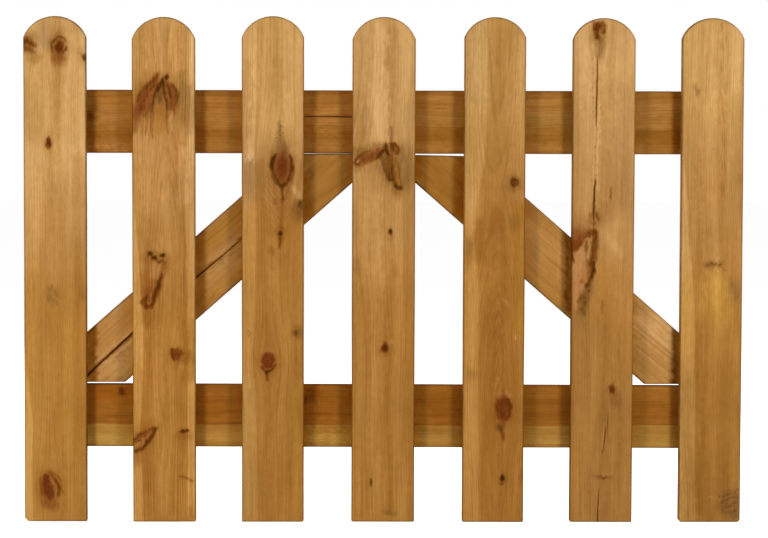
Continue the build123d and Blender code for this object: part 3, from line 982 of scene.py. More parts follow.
p.veil("red", 147, 427, 13, 7, 0.60, 4)
p.veil("brown", 183, 441, 9, 12, 0.30, 5)
p.dab("sienna", [(156, 428, 1.2), (147, 432, 2.8), (139.5, 436, 3.0), (134.5, 441, 3.0)], 0.75, 2.0)
p.dab("sienna", [(155, 431, 1.6), (150, 439, 3.0), (143.5, 446, 3.2), (136.5, 451, 2.5)], 0.70, 1.8)
p.dab("blush", [(152, 432.5, 0.8), (146, 438.5, 1.7), (138, 446, 2.2)], 0.60, 1.5)
p.dab("rose", [(149, 435.5, 0.5), (143, 441.5, 0.9), (137, 447, 1.0)], 0.55, 1.0)
p.dab("umber", [(147, 430.5, 0.4), (140.5, 434, 0.8), (134.6, 439, 1.1)], 0.60, 1.0)
p.dab("umber", [(154.5, 427.5, 1.2), (150, 429, 0.6)], 0.45, 1.4)
p.dab("umber", [(155.6, 428.5, 1.4), (153.8, 434, 1.0), (149.4, 440.4, 2.0), (144.4, 446, 1.4), (139.5, 450, 0.8), (135.6, 452.0, 1.2)], 0.74, 1.3)
p.dab("ink_and_crack_shade", [(155.6, 429.2, 1.0), (155.2, 431, 0.8)], 0.60, 0.9)
p.dab("ink_and_crack_shade", [(149.8, 439.6, 0.7), (147.4, 443, 0.7)], 0.55, 0.9)
p.dab("ink_and_crack_shade", [(138, 440.8, 0.6), (140, 439.6, 0.5)], 0.70, 0.6)
p.dab("buff", [(140.8, 438.6, 0.5), (142.6, 437.8, 0.4)], 0.70, 0.6)
p.wash("red", [(149, 456, 5), (149, 490, 4)], 0.40, 4)
p.veil("brown", 136, 458, 5, 7, 1.00, 4)
p.veil("tan", 136, 458, 5, 7, 0.50, 4)
p.wash("brown", [(191, 508, 4), (191, 521, 4)], 0.85, 4)
p.veil("brown", 183, 434, 8, 6, 0.65, 3.5)
p.oval("ink_and_crack_shade", 182.6, 431.2, 1.9, 1.5, 0.85, 1.1)
p.oval("ink_and_crack_shade", 187.0, 430.6, 2.0, 1.7, 0.85, 1.1)
p.dab("umber", [(180.5, 431.5, 0.8), (184, 432.5, 1.4), (188.5, 430, 1.0)], 0.60, 1.2)
p.dab("umber", [(178, 476, 0.3), (184, 476.5, 0.8), (190, 480, 0.7), (194, 481, 0.3)], 0.40, 1.2)

p = boards["pale_3"]
p.pith = dict(u=40.0, d=70.0, s=2.6)
p.fade = (125, 185, 225)
p.edge(-1, [(256, 30), (256, 200), (256, 250), (255.5, 300), (254, 350), (257, 420), (258, 520)], 2.4)
p.wash("brown", [(247, 5, 7), (247, 150, 7)], 0.75, 6)
p.wash("dim", [(245, 60, 4), (245, 195, 4)], 0.90, 4)
p.wash("light", [(273, 20, 34), (273, 105, 34)], 0.75, 15)
p.wash("honey", [(273, 20, 34), (273, 105, 34)], 0.25, 15)
p.wash("brown", [(284, 215, 12), (284, 260, 12)], 0.35, 9)
p.wash("tan", [(273, 320, 8), (271, 400, 8)], 0.35, 6)
p.wash("gold", [(297, 385, 6), (298, 505, 6)], 0.55, 6)
p.wash("straw", [(248, 380, 6), (248, 512, 6)], 0.75, 3)
p.wash("dim", [(248, 380, 6), (248, 512, 6)], 0.22, 3)
p.wash("tan", [(281, 430, 9), (281, 490, 9)], 0.55, 7)
p.wash("tan", [(279, 60, 4), (279.5, 120, 3)], 0.70, 4)
p.wash("pale", [(296, 35, 6), (296, 100, 6)], 0.35, 6)
p.wash("pale", [(248, 146, 3.5), (249, 158, 4)], 1.00, 4)
p.wash("light", [(249.5, 140, 3), (249.5, 159, 3.5)], 1.00, 3)
p.wash("pale", [(249.5, 150, 2), (249.5, 159, 2.5)], 0.50, 2.5)
p.wash("dim", [(253, 168, 11), (253, 194, 11)], 1.00, 5)
p.wash("grey", [(250, 168, 7), (250, 184, 7)], 0.40, 5)
p.wash("tan", [(260, 152, 5), (261, 180, 6)], 0.40, 5)
p.grow(282, 168, 10, 17)
p.veil("brown", 280, 166, 20, 30, 0.55, 14)
p.veil("brown", 281.5, 168, 13.5, 20, 0.85, 5)
p.veil("pale", 291, 151.5, 3, 4, 1.00, 2.5)
p.dab("dusk", [(279.5, 122, 0.6), (279.6, 133, 1.6), (281, 143, 4.6), (282, 151, 6.2)], 0.65, 2.4)
for sx, sy in ((279.5, 130.4), (279.8, 134.9), (276.5, 138.2), (280.5, 126), (283, 133)):
    p.dab("umber", [(sx, sy, 0.6)], 0.55, 0.9)
p.oval("sienna", 281.8, 168.5, 10.0, 15.5, 0.72, 3.0)
p.oval("rust", 282.4, 167.5, 6.6, 12.8, 0.92, 2.4)
p.oval("umber", 283.2, 168, 2.4, 8, 0.22, 2.2)
p.dab("blush", [(285.8, 153.5, 0.9), (287.8, 159, 1.0), (288.4, 167, 0.9), (287.4, 174, 0.5)], 0.30, 1.1)
p.dab("blush", [(276.8, 159, 0.7), (276.4, 166, 0.9), (277.8, 173, 0.8), (280, 179, 0.5)], 0.16, 1.2)
p.dab("ink_and_crack_shade", [(276.0, 154, 0.7), (273.2, 159, 2.0), (272.2, 164.5, 2.2), (272.8, 170, 1.0)], 0.80, 1.3)
p.dab("ink_and_crack_shade", [(272.8, 170, 0.8), (275.5, 177.5, 0.7), (279, 183.0, 0.9), (282, 185.6, 1.8), (285.5, 184.0, 0.9), (289, 180.5, 0.6)], 0.70, 1.3)
p.dab("ink_and_crack_shade", [(289.5, 155, 0.6), (291.2, 160.5, 1.4), (291.6, 167, 1.6), (290.6, 173, 0.9), (288.4, 179.5, 0.6)], 0.76, 1.2)
p.dab("umber", [(269.8, 168, 0.5), (272.5, 177, 0.7), (277, 184.5, 0.8)], 0.50, 1.0)
p.dab("umber", [(294, 164, 0.5), (294.2, 172, 0.6), (291.5, 180, 0.5)], 0.45, 1.0)
p.dab("umber", [(282, 188, 2.0), (281.5, 193, 1.2), (282.6, 199, 1.4)], 0.70, 1.3)
p.dab("sienna", [(281.5, 199, 1.8), (281.3, 212, 2.4), (279.8, 226, 1.6)], 0.24, 2.0)
p.dab("sienna", [(273.8, 199.5, 0.9), (276.4, 203.2, 1.6), (279.8, 202.6, 1.2)], 0.30, 2.0)
p.dab("sienna", [(285.0, 197.0, 0.9), (282.8, 200.4, 1.4)], 0.35, 1.8)
p.dab("sienna", [(277.5, 198, 0.6), (274.8, 201.5, 0.8), (278, 204, 0.6)], 0.50, 1.0)
for k in range(8):
    y = 184 + 6.0 * k
    p.dab("sienna", [(266.5 - 0.7 * k, y - 10, 0.35), (273, y + 1, 0.55), (280.4 + 1.5 * math.sin(2.3 * k), y + 13, 0.3), (286.5, y + 3, 0.5), (291.0, y - 6, 0.3)], 0.58 - 0.045 * k, 0.8)
p.dab("buff", [(293, 187, 1.6), (297, 193, 3.0), (299, 198, 1.6)], 0.60, 2.2)
p.veil("brown", 281, 234, 6.5, 8, 0.65, 3.5)
p.dab("sienna", [(281, 226, 1.4), (280.5, 236, 2.0), (279.8, 247, 1.2)], 0.65, 1.5)
p.oval("ink_and_crack_shade", 280.6, 233.6, 1.7, 2.0, 0.88, 1.0)
p.dab("umber", [(280.2, 238, 1.0), (279.8, 243, 1.5), (279.4, 247, 0.8)], 0.45, 1.4)
p.veil("smoke", 297.5, 211, 6.5, 12, 0.75, 4)
p.oval("dusk", 300.0, 209, 3.2, 6, 0.62, 2.2)
p.oval("ink_and_crack_shade", 301.2, 204.0, 1.8, 2.8, 0.60, 1.8)
p.veil("smoke", 272, 252, 4, 4, 0.50, 2.5)
p.veil("smoke", 298, 332, 6, 7, 0.75, 3.5)
p.oval("umber", 295.8, 333, 2.0, 2.3, 0.62, 1.7)
p.dab("dusk", [(299, 326, 0.8), (300.5, 331, 1.0), (299.5, 338, 0.7)], 0.50, 1.4)
p.dab("dusk", [(248.5, 330, 0.4), (250, 333, 0.7), (248.5, 336, 0.4)], 0.50, 1.0)
p.grow(268, 361.5, 8, 9)
p.veil("red", 268.3, 361, 12.5, 14, 0.75, 5)
p.dab("rose", [(263, 350.5, 2.0), (269, 349.5, 2.6), (275, 352.5, 1.8)], 0.45, 2)
p.oval("rust", 268, 360.5, 7.4, 8.2, 0.95, 1.5)
p.dab("rust", [(267, 366, 3.5), (266.5, 371.5, 1.4)], 0.85, 1.4)
p.dab("ink_and_crack_shade", [(261.2, 366, 0.4), (263.5, 370.3, 0.9), (266.4, 372.6, 1.1), (270, 370.6, 0.9), (273, 368.3, 0.8), (276, 364.5, 0.5)], 0.72, 1.0)
p.dab("buff", [(264.8, 368.6, 0.6), (267, 370.2, 0.7), (270, 368.4, 0.6)], 0.50, 0.7)
p.dab("buff", [(273.6, 364.5, 0.5), (275.4, 362.5, 0.5)], 0.45, 0.8)
p.dab("umber", [(267.3, 374.5, 1.0), (267.6, 380.5, 1.0)], 0.60, 1.2)
p.dab("buff", [(247.5, 376, 1.2), (248.5, 386, 2.6), (248, 400, 1.6)], 0.34, 2.6)
p.dab("olive", [(250.5, 391, 1.8), (249.5, 400, 1.4)], 0.34, 2.2)

p = boards["pale_4"]
p.pith = dict(u=-70.0, d=120.0, s=2.5)
p.fade = (110, 225, 320)
p.edge(-1, [(349, 40), (349, 300), (346, 520)], 2.0)
p.wash("pale", [(379, 26, 6), (379, 144, 5)], 0.55, 5)
p.wash("pale", [(386, 28, 1.8), (386, 140, 1.8)], 0.40, 1.8)
p.wash("tan", [(392, 30, 3.5), (393, 135, 3.5)], 0.60, 3)
p.wash("tan", [(359, 40, 7), (360, 140, 8)], 0.80, 6)
p.wash("tan", [(358, 98, 7), (358, 140, 7)], 0.80, 6)
p.wash("light", [(378, 26, 9), (378, 140, 8)], 0.60, 5)
p.wash("light", [(405, 26, 8), (406, 92, 8)], 0.80, 6)
p.wash("light", [(383, 208, 30), (383, 258, 30)], 0.60, 14)
p.wash("tan", [(404, 100, 8), (404, 150, 8)], 0.50, 7)
p.wash("pale", [(377, 200, 5), (376, 330, 4)], 0.70, 4)
p.wash("pale", [(376, 335, 4), (377, 510, 4)], 0.55, 4)
p.wash("tan", [(390, 236, 3), (389, 510, 3)], 0.50, 3)
p.wash("tan", [(356, 160, 5), (356, 250, 4)], 0.30, 4)
p.grow(370, 155.5, 13, 6, 0.5, False)
p.veil("brown", 370, 156, 20, 14, 0.45, 6)
p.veil("brown", 358, 151, 6, 4, 1.00, 3)
p.veil("tan", 358, 151, 6, 4, 0.60, 3)
p.veil("brown", 359, 168, 5, 4, 1.00, 3)
p.veil("honey", 359, 168, 5, 4, 0.70, 3)
p.veil("brown", 397, 192.5, 6, 5, 1.00, 3.5)
p.veil("honey", 397, 192.5, 6, 5, 0.60, 3.5)
p.veil("brown", 378, 174, 15, 26, 0.50, 10)
p.veil("smoke", 402, 170, 13, 23, 0.92, 8)
p.veil("smoke", 388, 166, 9, 20, 0.70, 4)
p.dab("olive", [(356, 157, 2), (362, 150.5, 2.4), (371, 147, 2.6), (383, 145, 2.2)], 0.60, 2.2)
p.dab("dusk", [(386, 152, 4.2), (387.0, 161, 5.2), (388.8, 171, 3.8), (391.0, 181, 2.0)], 0.30, 3.2)
for k in range(5):
    p.dab("umber", [(379.0 + 2.5 * k, 156 + 0.5 * k, 0.35), (384 + 1.9 * k, 167, 0.55), (389.0 + 0.9 * k, 181, 0.4)], 0.78, 0.6)
    p.dab("rose", [(380.4 + 2.5 * k, 158 + 0.5 * k, 0.25), (385 + 1.9 * k, 168, 0.35), (389.4 + 0.9 * k, 179, 0.25)], 0.46, 0.6)
p.dab("sienna", [(357, 162.5, 2.4), (364, 159, 5), (372, 155.6, 5.2), (379, 151.5, 3.6), (383, 149, 1.4)], 0.88, 1.9)
p.dab("rust", [(361, 160.5, 1.8), (369, 157, 3.0), (377, 153, 2.2)], 0.32, 2.4)
p.dab("blush", [(366, 153, 1.0), (374, 150.5, 1.4), (381, 148.6, 0.8)], 0.50, 1.4)
p.dab("umber", [(355.4, 162, 1.5), (357, 157.8, 1.4), (360.5, 154.6, 1.1), (365, 152.2, 0.7), (369, 150.6, 0.3)], 0.66, 1.5)
p.dab("umber", [(358, 166, 0.7), (363, 165, 0.6), (369, 162.6, 0.4), (375, 160.2, 0.7)], 0.26, 1.4)
p.dab("ink_and_crack_shade", [(376.5, 158.8, 0.7), (380, 155.6, 1.3), (383.2, 151.4, 1.6)], 0.80, 1.2)
p.dab("umber", [(354.6, 163.5, 1.0), (357, 165.6, 1.0), (359.4, 164.6, 0.7)], 0.70, 1.0)
p.dab("buff", [(357.6, 162, 0.9), (359.2, 160.6, 0.6)], 0.95, 0.7)
p.dab("buff", [(366.6, 146.6, 0.7)], 0.55, 0.8)
p.dab("rose", [(360, 169, 2.2), (367, 167.5, 2.2), (373, 164.5, 1.4)], 0.55, 2.0)
p.grow(393.5, 149.5, 5, 5.5)
p.dab("dusk", [(391.6, 143, 1.8), (391.2, 137, 1.6), (390.4, 127, 0.9)], 0.65, 1.6)
p.oval("sienna", 393.4, 149, 5.0, 5.8, 0.62, 2.4)
p.dab("umber", [(391.8, 144.6, 1.7), (391.6, 148, 2.1), (393.2, 150.5, 1.6)], 0.74, 1.5)
p.dab("rose", [(388.8, 144.5, 0.7), (389.0, 150, 0.9)], 0.65, 0.8)
p.dab("rose", [(394.8, 152.5, 1.1), (396, 149.5, 0.7)], 0.45, 1.0)
p.dab("ink_and_crack_shade", [(386.4, 144.5, 0.8), (386.2, 150, 1.4), (388.4, 155.0, 1.6)], 0.80, 1.3)
p.dab("umber", [(390.5, 143, 1.0), (394.5, 143.2, 1.0), (398, 147.5, 1.1), (397.2, 152.6, 1.5)], 0.75, 1.2)
p.grow(396, 172, 3.5, 14, 0.5, False)
p.dab("amber", [(394.5, 157, 1.6), (395.2, 166, 2.8), (396.6, 176, 2.9), (399, 184, 1.9)], 0.75, 1.2)
p.dab("sienna", [(395, 159, 1.0), (395, 168, 1.2), (396, 176, 1.0)], 0.55, 1.2)
p.dab("umber", [(391.6, 155, 0.9), (391.8, 163, 1.1), (392.5, 172, 1.2), (394, 180, 1.3), (396.4, 186.4, 1.3)], 0.66, 1.5)
p.dab("ink_and_crack_shade", [(395.4, 185, 0.8), (397.4, 187.4, 1.5), (400.4, 187.8, 1.8)], 0.78, 1.4)
p.dab("umber", [(397.0, 158, 0.4), (398.4, 168, 0.6), (399.6, 178, 0.7), (401.6, 186, 0.9)], 0.50, 1.2)
p.dab("olive", [(403, 150, 3.5), (404, 166, 4.5), (404, 184, 3.5)], 0.62, 4.5)
p.dab("umber", [(395.2, 171, 0.4), (396.0, 179, 0.6)], 0.55, 0.8)
p.veil("brown", 390, 235, 3.5, 7, 0.60, 3)
p.oval("ink_and_crack_shade", 390.2, 231.8, 1.9, 2.6, 0.88, 1.1)
p.veil("smoke", 357.5, 266, 5, 9, 0.55, 3.5)
p.veil("brown", 395, 270, 5, 7, 0.60, 3.5)
p.veil("brown", 384.8, 349, 7, 8, 0.60, 3.5)
p.oval("rust", 384.8, 347.5, 3.9, 4.6, 0.92, 1.3)
p.oval("umber", 384.6, 347.8, 2.8, 3.4, 0.70, 1.4)
p.grow(384.8, 347.5, 4, 5)
p.oval("buff", 390.5, 342, 3.5, 2.2, 0.40, 1.5)
p.dab("umber", [(370.5, 479, 0.6), (371, 483, 1.0), (370.6, 486, 0.5)], 0.75, 0.9)
p.oval("dusk", 390, 513, 6, 2, 0.55, 1.5, 8)

p = boards["pale_5"]
p.pith = dict(u=4.0, d=0, d_at=([0, 120, 230, 300, 400, 470, 560, 704], [26, 18, 15, 22, 36, 40, 33, 28]), s=2.8)
p.fade = (60, 165, 225)
p.wash("honey", [(494, 20, 34), (494, 150, 34)], 0.45, 15)
p.wash("dim", [(474, 18, 11), (474, 95, 11)], 0.90, 4)
p.edge(-1, [(487, 25), (487, 100), (485, 160), (475, 212), (474, 245), (479, 285), (479, 360), (479, 430), (479, 520)], 3.0)
p.wash("tan", [(469, 30, 4), (469, 150, 4)], 0.60, 3)
p.wash("pale", [(521, 40, 4), (521, 200, 4)], 0.55, 4)
p.wash("gold", [(519, 210, 5), (519, 330, 5)], 0.80, 5)
p.wash("tan", [(500, 40, 12), (500, 150, 12)], 0.40, 10)
p.wash("brown", [(478, 225, 6), (479, 256, 5)], 0.60, 5)
p.veil("smoke", 514, 184, 8, 9, 0.65, 4)
p.grow(514.3, 182.5, 3.5, 4)
p.oval("umber", 514.3, 182.5, 3.9, 4.5, 0.88, 1.2)
p.oval("olive", 514.5, 182.5, 2.1, 2.5, 0.62, 0.9)
p.oval("ink_and_crack_shade", 514.6, 182.8, 0.6, 0.7, 0.60, 0.7)
p.veil("smoke", 469.5, 247, 5, 8, 0.45, 3)
p.veil("dim", 468, 261, 5, 8, 1.00, 4)
p.veil("tan", 468, 261, 5, 8, 0.60, 4)
p.veil("pale", 478, 205, 4, 12, 0.85, 4)
p.dab("buff", [(472.5, 188, 2.2), (470.5, 205, 4.2), (470.5, 222, 4.0), (469.5, 232, 2.0)], 0.46, 3.5)
p.dab("olive", [(468.5, 240, 2.5), (468.5, 252, 3.0)], 0.62, 3.0)
p.veil("smoke", 515, 222, 6, 8, 0.45, 3)
p.dab("olive", [(512.5, 219, 1.0), (515, 226, 1.6), (517.5, 222, 1.0)], 0.50, 1.6)
for k in range(-4, 5):
    p.dab("sienna", [(497 + 1.3 * k, 214 + 3.2 * abs(k), 0.3), (497 + 2.5 * k, 238 + 2.0 * abs(k), 0.6), (497 + 2.9 * k, 268, 0.3)], 0.34, 0.9)
for y in (293, 311, 324, 336, 347, 371):
    p.dab("sienna", [(492.6, y + 26, 0.3), (495.4, y + 9, 0.55), (498.2, y, 0.5), (501.2, y + 9, 0.55), (504.4, y + 26, 0.3)], 0.36, 0.9)
    p.dab("buff", [(494.6, y + 24, 0.25), (496.6, y + 10, 0.35), (498.3, y + 4.5, 0.4), (500.0, y + 10, 0.35), (502.4, y + 24, 0.25)], 0.20, 0.9)
p.dab("buff", [(501.5, 298.5, 0.8), (505.5, 301.5, 1.2), (508, 306, 0.7)], 0.50, 1.1)
p.dab("buff", [(515.5, 335, 0.6), (516.5, 339, 0.6)], 0.60, 0.8)
p.veil("red", 497, 222, 6, 12, 0.38, 4)
p.veil("smoke", 471, 374, 4.5, 6, 0.50, 3)
p.grow(503.5, 409, 8, 12)
p.veil("red", 503.5, 412, 12.5, 15.5, 0.75, 5)
p.dab("rose", [(498, 394.5, 1.6), (504, 393.5, 2.2), (510, 396, 1.6)], 0.35, 2)
p.dab("buff", [(506, 391.5, 1.4), (510, 395.5, 1.6)], 0.34, 2)
p.oval("rust", 503.6, 409, 7.6, 11.8, 0.82, 2.2)
p.oval("sienna", 504.3, 408.7, 3.2, 5.6, 0.62, 1.8)
p.dab("umber", [(497.2, 400, 0.7), (496, 405, 1.2), (496.6, 411, 1.0), (499, 417.5, 1.0)], 0.70, 1.2)
p.dab("umber", [(508, 399, 0.8), (510.3, 405, 1.3), (510.2, 413, 1.3), (507.5, 419.5, 1.0)], 0.65, 1.2)
p.dab("umber", [(499.8, 399, 0.5), (500.2, 408, 0.5), (501.5, 416, 0.5)], 0.20, 1.2)
p.dab("buff", [(497.5, 412.5, 0.5), (499.5, 417, 0.5)], 0.40, 0.8)
p.dab("sienna", [(503.3, 396, 1.4), (503, 389, 0.8)], 0.50, 1.4)
p.oval("dusk", 500, 427.5, 4.6, 4.2, 0.70, 2.6)
p.dab("umber", [(499, 424, 0.8), (500, 428.5, 1.7), (502.5, 433, 1.4), (503, 440, 0.9)], 0.60, 1.5)
p.veil("brown", 502.3, 479, 5, 7, 0.60, 3)
p.oval("ink_and_crack_shade", 502.3, 478, 2.1, 2.9, 0.85, 1.2)
p.dab("umber", [(500.5, 483.5, 0.6), (502, 484.5, 1.1), (503.5, 483.5, 0.5)], 0.70, 0.9)
p.veil("smoke", 522, 475, 3, 6, 0.65, 2)

p = boards["pale_6"]
p.pith = dict(u=130.0, d=60.0, s=2.3)
p.fade = (30, 190, 330)
p.fine = 0.9
p.wash("light", [(603, 20, 34), (603, 195, 34)], 0.90, 15)
p.wash("light", [(607, 40, 4), (607, 150, 4)], 1.00, 3)
p.wash("dim", [(623, 90, 8), (623, 200, 8)], 0.85, 5)
p.wash("light", [(619, 232, 13), (621, 312, 13)], 0.90, 8)
p.wash("dim", [(601, 335, 34), (601, 520, 34)], 0.30, 12)
p.veil("brown", 579, 226, 10, 12, 0.60, 6)
p.veil("brown", 582, 287, 12, 28, 0.62, 8)
p.wash("honey", [(603, 20, 34), (603, 95, 34)], 0.25, 15)
p.wash("pale", [(587, 45, 6), (588, 150, 5)], 0.35, 5)
p.wash("tan", [(603, 90, 4), (603, 212, 4)], 0.70, 3)
p.wash("tan", [(577, 100, 4), (577, 205, 5)], 0.40, 5)
p.wash("pale", [(612, 205, 10), (620, 290, 8)], 0.20, 8)
p.wash("tan", [(611, 270, 5), (612, 440, 5)], 0.55, 4)
p.wash("grey", [(612, 395, 12), (608, 515, 20)], 0.35, 10)
p.wash("tan", [(575, 325, 6), (577, 400, 6)], 0.35, 6)
p.veil("brown", 599.5, 33, 8, 11, 0.60, 4)
p.veil("tan", 599.5, 40, 10, 12, 0.90, 5)
p.veil("dim", 599.5, 40, 9, 10, 0.60, 5)
p.veil("tan", 620, 27, 7, 8, 0.80, 5)
p.veil("brown", 606, 209, 13, 14, 0.45, 7)
p.veil("brown", 600, 221, 5, 7, 0.45, 4)
p.dab("dusk", [(600.3, 40, 3.8), (600.3, 47, 3.8), (599.3, 56, 2.6)], 0.48, 3.2)
p.grow(599.5, 30, 6, 9)
p.oval("rust", 598.5, 27, 5.2, 5.5, 0.75, 2.2)
p.dab("umber", [(597.5, 25, 2.4), (596.2, 29, 2.8), (596.4, 33, 1.9), (597.2, 38, 1.9)], 0.75, 1.5)
p.dab("umber", [(602.6, 22.5, 1.2), (605.2, 26.5, 1.5), (605.0, 30.5, 1.4), (602.8, 33.4, 1.2), (600.8, 33.4, 0.7)], 0.75, 1.2)
p.dab("rose", [(600.2, 30.5, 0.7), (600.0, 35.5, 0.9)], 0.60, 0.9)
p.dab("sienna", [(593.5, 21.8, 0.9), (600, 21.2, 0.8)], 0.70, 0.9)
p.crack([(597.9, 56, 0.02), (597.5, 66, 0.14), (597.3, 78, 0.28), (597.0, 90, 0.40), (596.7, 102, 0.38), (596.3, 113, 0.28),
         (595.9, 124, 0.06), (595.6, 135, 0.0), (595.8, 160, 0.0), (595.4, 178, 0.06), (594.8, 190, 0.42), (594.2, 201, 0.55),
         (593.9, 209, 0.5), (593.8, 217, 0.15), (594.5, 240, 0.0), (600.0, 330, 0.0), (606.2, 425, 0.0), (605.4, 431, 0.26), (604.4, 440, 0.36),
         (603.2, 448, 0.28), (602.4, 455, 0.0), (601.5, 470, 0.0), (599.6, 482, 0.0), (598.8, 492, 0.1), (598.2, 500, 0.36), (597.7, 512, 0.44), (597.5, 523, 0.46)], 5.0)
p.dab("buff", [(604.2, 424, 0.4), (603.0, 440, 0.6), (602.4, 450, 0.3)], 0.45, 0.9, 0.3)
p.dab("buff", [(600.2, 495, 0.3), (599.4, 510, 0.5)], 0.35, 0.9, 0.3)
p.dab("sienna", [(597.6, 57, 0.5), (597.1, 85, 0.9), (596.5, 112, 0.8), (596, 126, 0.4)], 0.55, 0.9, 0.3)
p.dab("buff", [(594.8, 58, 0.9), (594.4, 90, 1.0), (593.8, 125, 0.8)], 0.50, 0.9)
p.dab("buff", [(599.6, 60, 0.6), (599.4, 85, 0.7), (598.6, 125, 0.6)], 0.42, 0.9)
for k in range(14):
    t = 58 + 4.9 * k
    p.dab("umber", [(593.2 + 0.5 * math.sin(1.9 * k) + (6.6 if k % 3 == 1 else 0.0), t, 0.3), (593.4 + (6.6 if k % 3 == 1 else 0.0), t + 1.1, 0.25)], 0.45, 0.5)
p.dab("buff", [(596.6, 128, 1.4), (596.6, 155, 1.9), (596.2, 178, 1.2)], 0.50, 1.4)
for k in range(17):
    t = 128 + 3.1 * k
    p.dab("buff" if k % 3 else "dusk", [(596.6 + 1.9 * math.sin(2.7 * k), t, 0.6), (596.8 + 1.9 * math.sin(2.7 * k), t + 1.6, 0.4)], 0.60, 0.7)
p.dab("buff", [(594.2, 120, 0.7), (594.3, 150, 1.0), (593.0, 196, 0.6)], 0.60, 1.0)
p.dab("buff", [(598.9, 100, 0.5), (598.8, 140, 1.0), (597.8, 190, 0.7)], 0.60, 1.0)
p.dab("dusk", [(596.0, 120, 0.40), (596.3, 145, 0.30), (595.6, 168, 0.35), (595.2, 184, 0.50)], 0.24, 0.8)
p.dab("umber", [(595.2, 180, 0.4), (594.3, 197, 0.9), (593.8, 212, 0.9), (593.6, 219, 0.5)], 0.60, 1.1)
p.dab("umber", [(611.3, 188, 0.5), (611.3, 193, 0.9), (611.0, 199, 0.5)], 0.55, 1.0)
p.veil("brown", 594.5, 220, 6.5, 9, 0.70, 4)
p.dab("umber", [(596.6, 213, 0.7), (597.4, 217, 1.2), (598, 220, 0.7)], 0.70, 1.2)
p.oval("sienna", 590.6, 215.5, 2.2, 2.4, 0.60, 1.6)
p.dab("sienna", [(591, 222, 1.0), (593.5, 224, 1.4), (597, 222, 1.0)], 0.60, 1.5)
p.grow(592, 262, 6, 30, 0.5, False)
p.dab("buff", [(603, 231, 3.0), (609, 238, 4.6), (615, 247, 4.6), (619, 255, 2.6)], 0.50, 3.5)
p.dab("rose", [(580, 258, 7), (579, 280, 8), (577, 302, 5.5)], 0.72, 3)
p.veil("brown", 577, 252, 5, 5, 0.70, 3)
p.veil("brown", 582, 229, 7, 4, 0.80, 3)
p.dab("sienna", [(571, 241, 11.5), (575, 240.5, 10.5), (580, 237, 7.0), (586, 234.5, 4.2), (593, 233, 2.8)], 0.85, 2.6)
p.dab("rust", [(572, 246, 4), (576, 243, 5), (581, 238, 3.6), (587, 234.5, 2.4)], 0.52, 2.6)
p.dab("umber", [(589, 232, 1.4), (595, 233, 2.6)], 0.45, 2.2)
p.dab("umber", [(572.5, 250, 2.2), (576, 247.5, 2.0), (580, 243, 1.2)], 0.50, 2.2)
p.dab("amber", [(574.5, 238, 1.0), (578, 237.6, 0.8)], 0.25, 1.2)
p.dab("umber", [(594.6, 231.5, 2.0), (595.4, 238, 2.8), (594.9, 246, 3.0), (593.4, 254, 2.8), (592.2, 261, 3.2), (592.2, 268, 2.8), (591.6, 275, 2.4),
                (589.6, 281, 2.0), (587.2, 285.5, 2.4)], 0.72, 1.8)
p.dab("sienna", [(598, 240, 1.2), (597, 252, 1.4), (596.2, 262, 1.0)], 0.55, 1.5)
p.dab("ink_and_crack_shade", [(594.6, 262, 0.8), (593.6, 270, 1.5), (591.8, 277, 1.2)], 0.75, 1.2)
p.oval("ink_and_crack_shade", 587.2, 285.2, 2.6, 1.7, 0.72, 1.2, -25)
p.dab("buff", [(587.0, 238.4, 1.0), (589.4, 241.5, 1.0), (590.4, 249, 0.9), (588.6, 257, 0.9)], 0.70, 1.1)
p.dab("buff", [(585.6, 240, 0.8), (582, 247, 1.2), (578.5, 252.5, 1.0)], 0.45, 1.3)
p.dab("dusk", [(587.2, 241.5, 1.3), (587.0, 247, 1.9), (586.4, 251, 1.2)], 0.92, 1.2)
p.dab("sienna", [(586.8, 260, 0.7), (587.2, 270, 0.9), (586.4, 278, 0.7)], 0.55, 1.1)
p.dab("sienna", [(583, 262, 0.5), (583, 276, 0.7)], 0.35, 1.1)
p.oval("sienna", 581.5, 281.5, 2.0, 2.2, 0.70, 1.4)
p.dab("dusk", [(589, 288, 3.2), (585.5, 296, 4.8), (583, 304, 4.6), (582, 312, 4.0)], 0.75, 2.8)
for sx, sy, r in ((588.5, 291, 1.5), (580.6, 297.5, 1.8), (585, 298, 1.2), (584.6, 303.5, 1.6), (581.6, 309, 1.5), (583.5, 313, 1.2), (578.5, 301, 1.0)):
    p.oval("umber", sx, sy, r, r * 1.2, 0.46, 1.3)
p.dab("umber", [(572.6, 255, 0.9), (572.4, 259, 1.4), (572.8, 263, 0.8)], 0.75, 1.1)
p.dab("olive", [(581, 317, 5), (579, 327, 4.5)], 0.50, 3.5)
p.dab("amber", [(601.5, 266, 3.5), (602, 318, 4)], 0.55, 2.5)
p.dab("dusk", [(603.2, 302, 0.7), (602.8, 308, 0.9), (602.6, 313, 0.5)], 0.55, 1.1)
p.veil("smoke", 616, 400, 7, 8, 0.40, 4)
p.veil("brown", 611.5, 390.5, 5.5, 7, 0.50, 3)
p.oval("rust", 611.5, 389.5, 2.9, 4.4, 0.85, 1.3, -20)
p.oval("umber", 611.3, 389.8, 1.9, 3.2, 0.60, 1.2, -20)
p.grow(611.5, 389.5, 3, 4.5)
p.dab("dusk", [(593, 475.6, 0.4), (599, 476.4, 0.9), (604, 477.8, 1.1), (609, 476.4, 0.9), (613, 475.4, 0.5)], 0.66, 1.5)
p.dab("umber", [(601.5, 477.2, 0.5), (604.5, 478.2, 0.8), (607, 477.2, 0.4)], 0.50, 1.0)
p.dab("buff", [(602.6, 473.6, 0.5), (604.2, 474.6, 0.4)], 0.50, 0.8)
p.veil("brown", 602, 477, 10, 3, 0.50, 2)

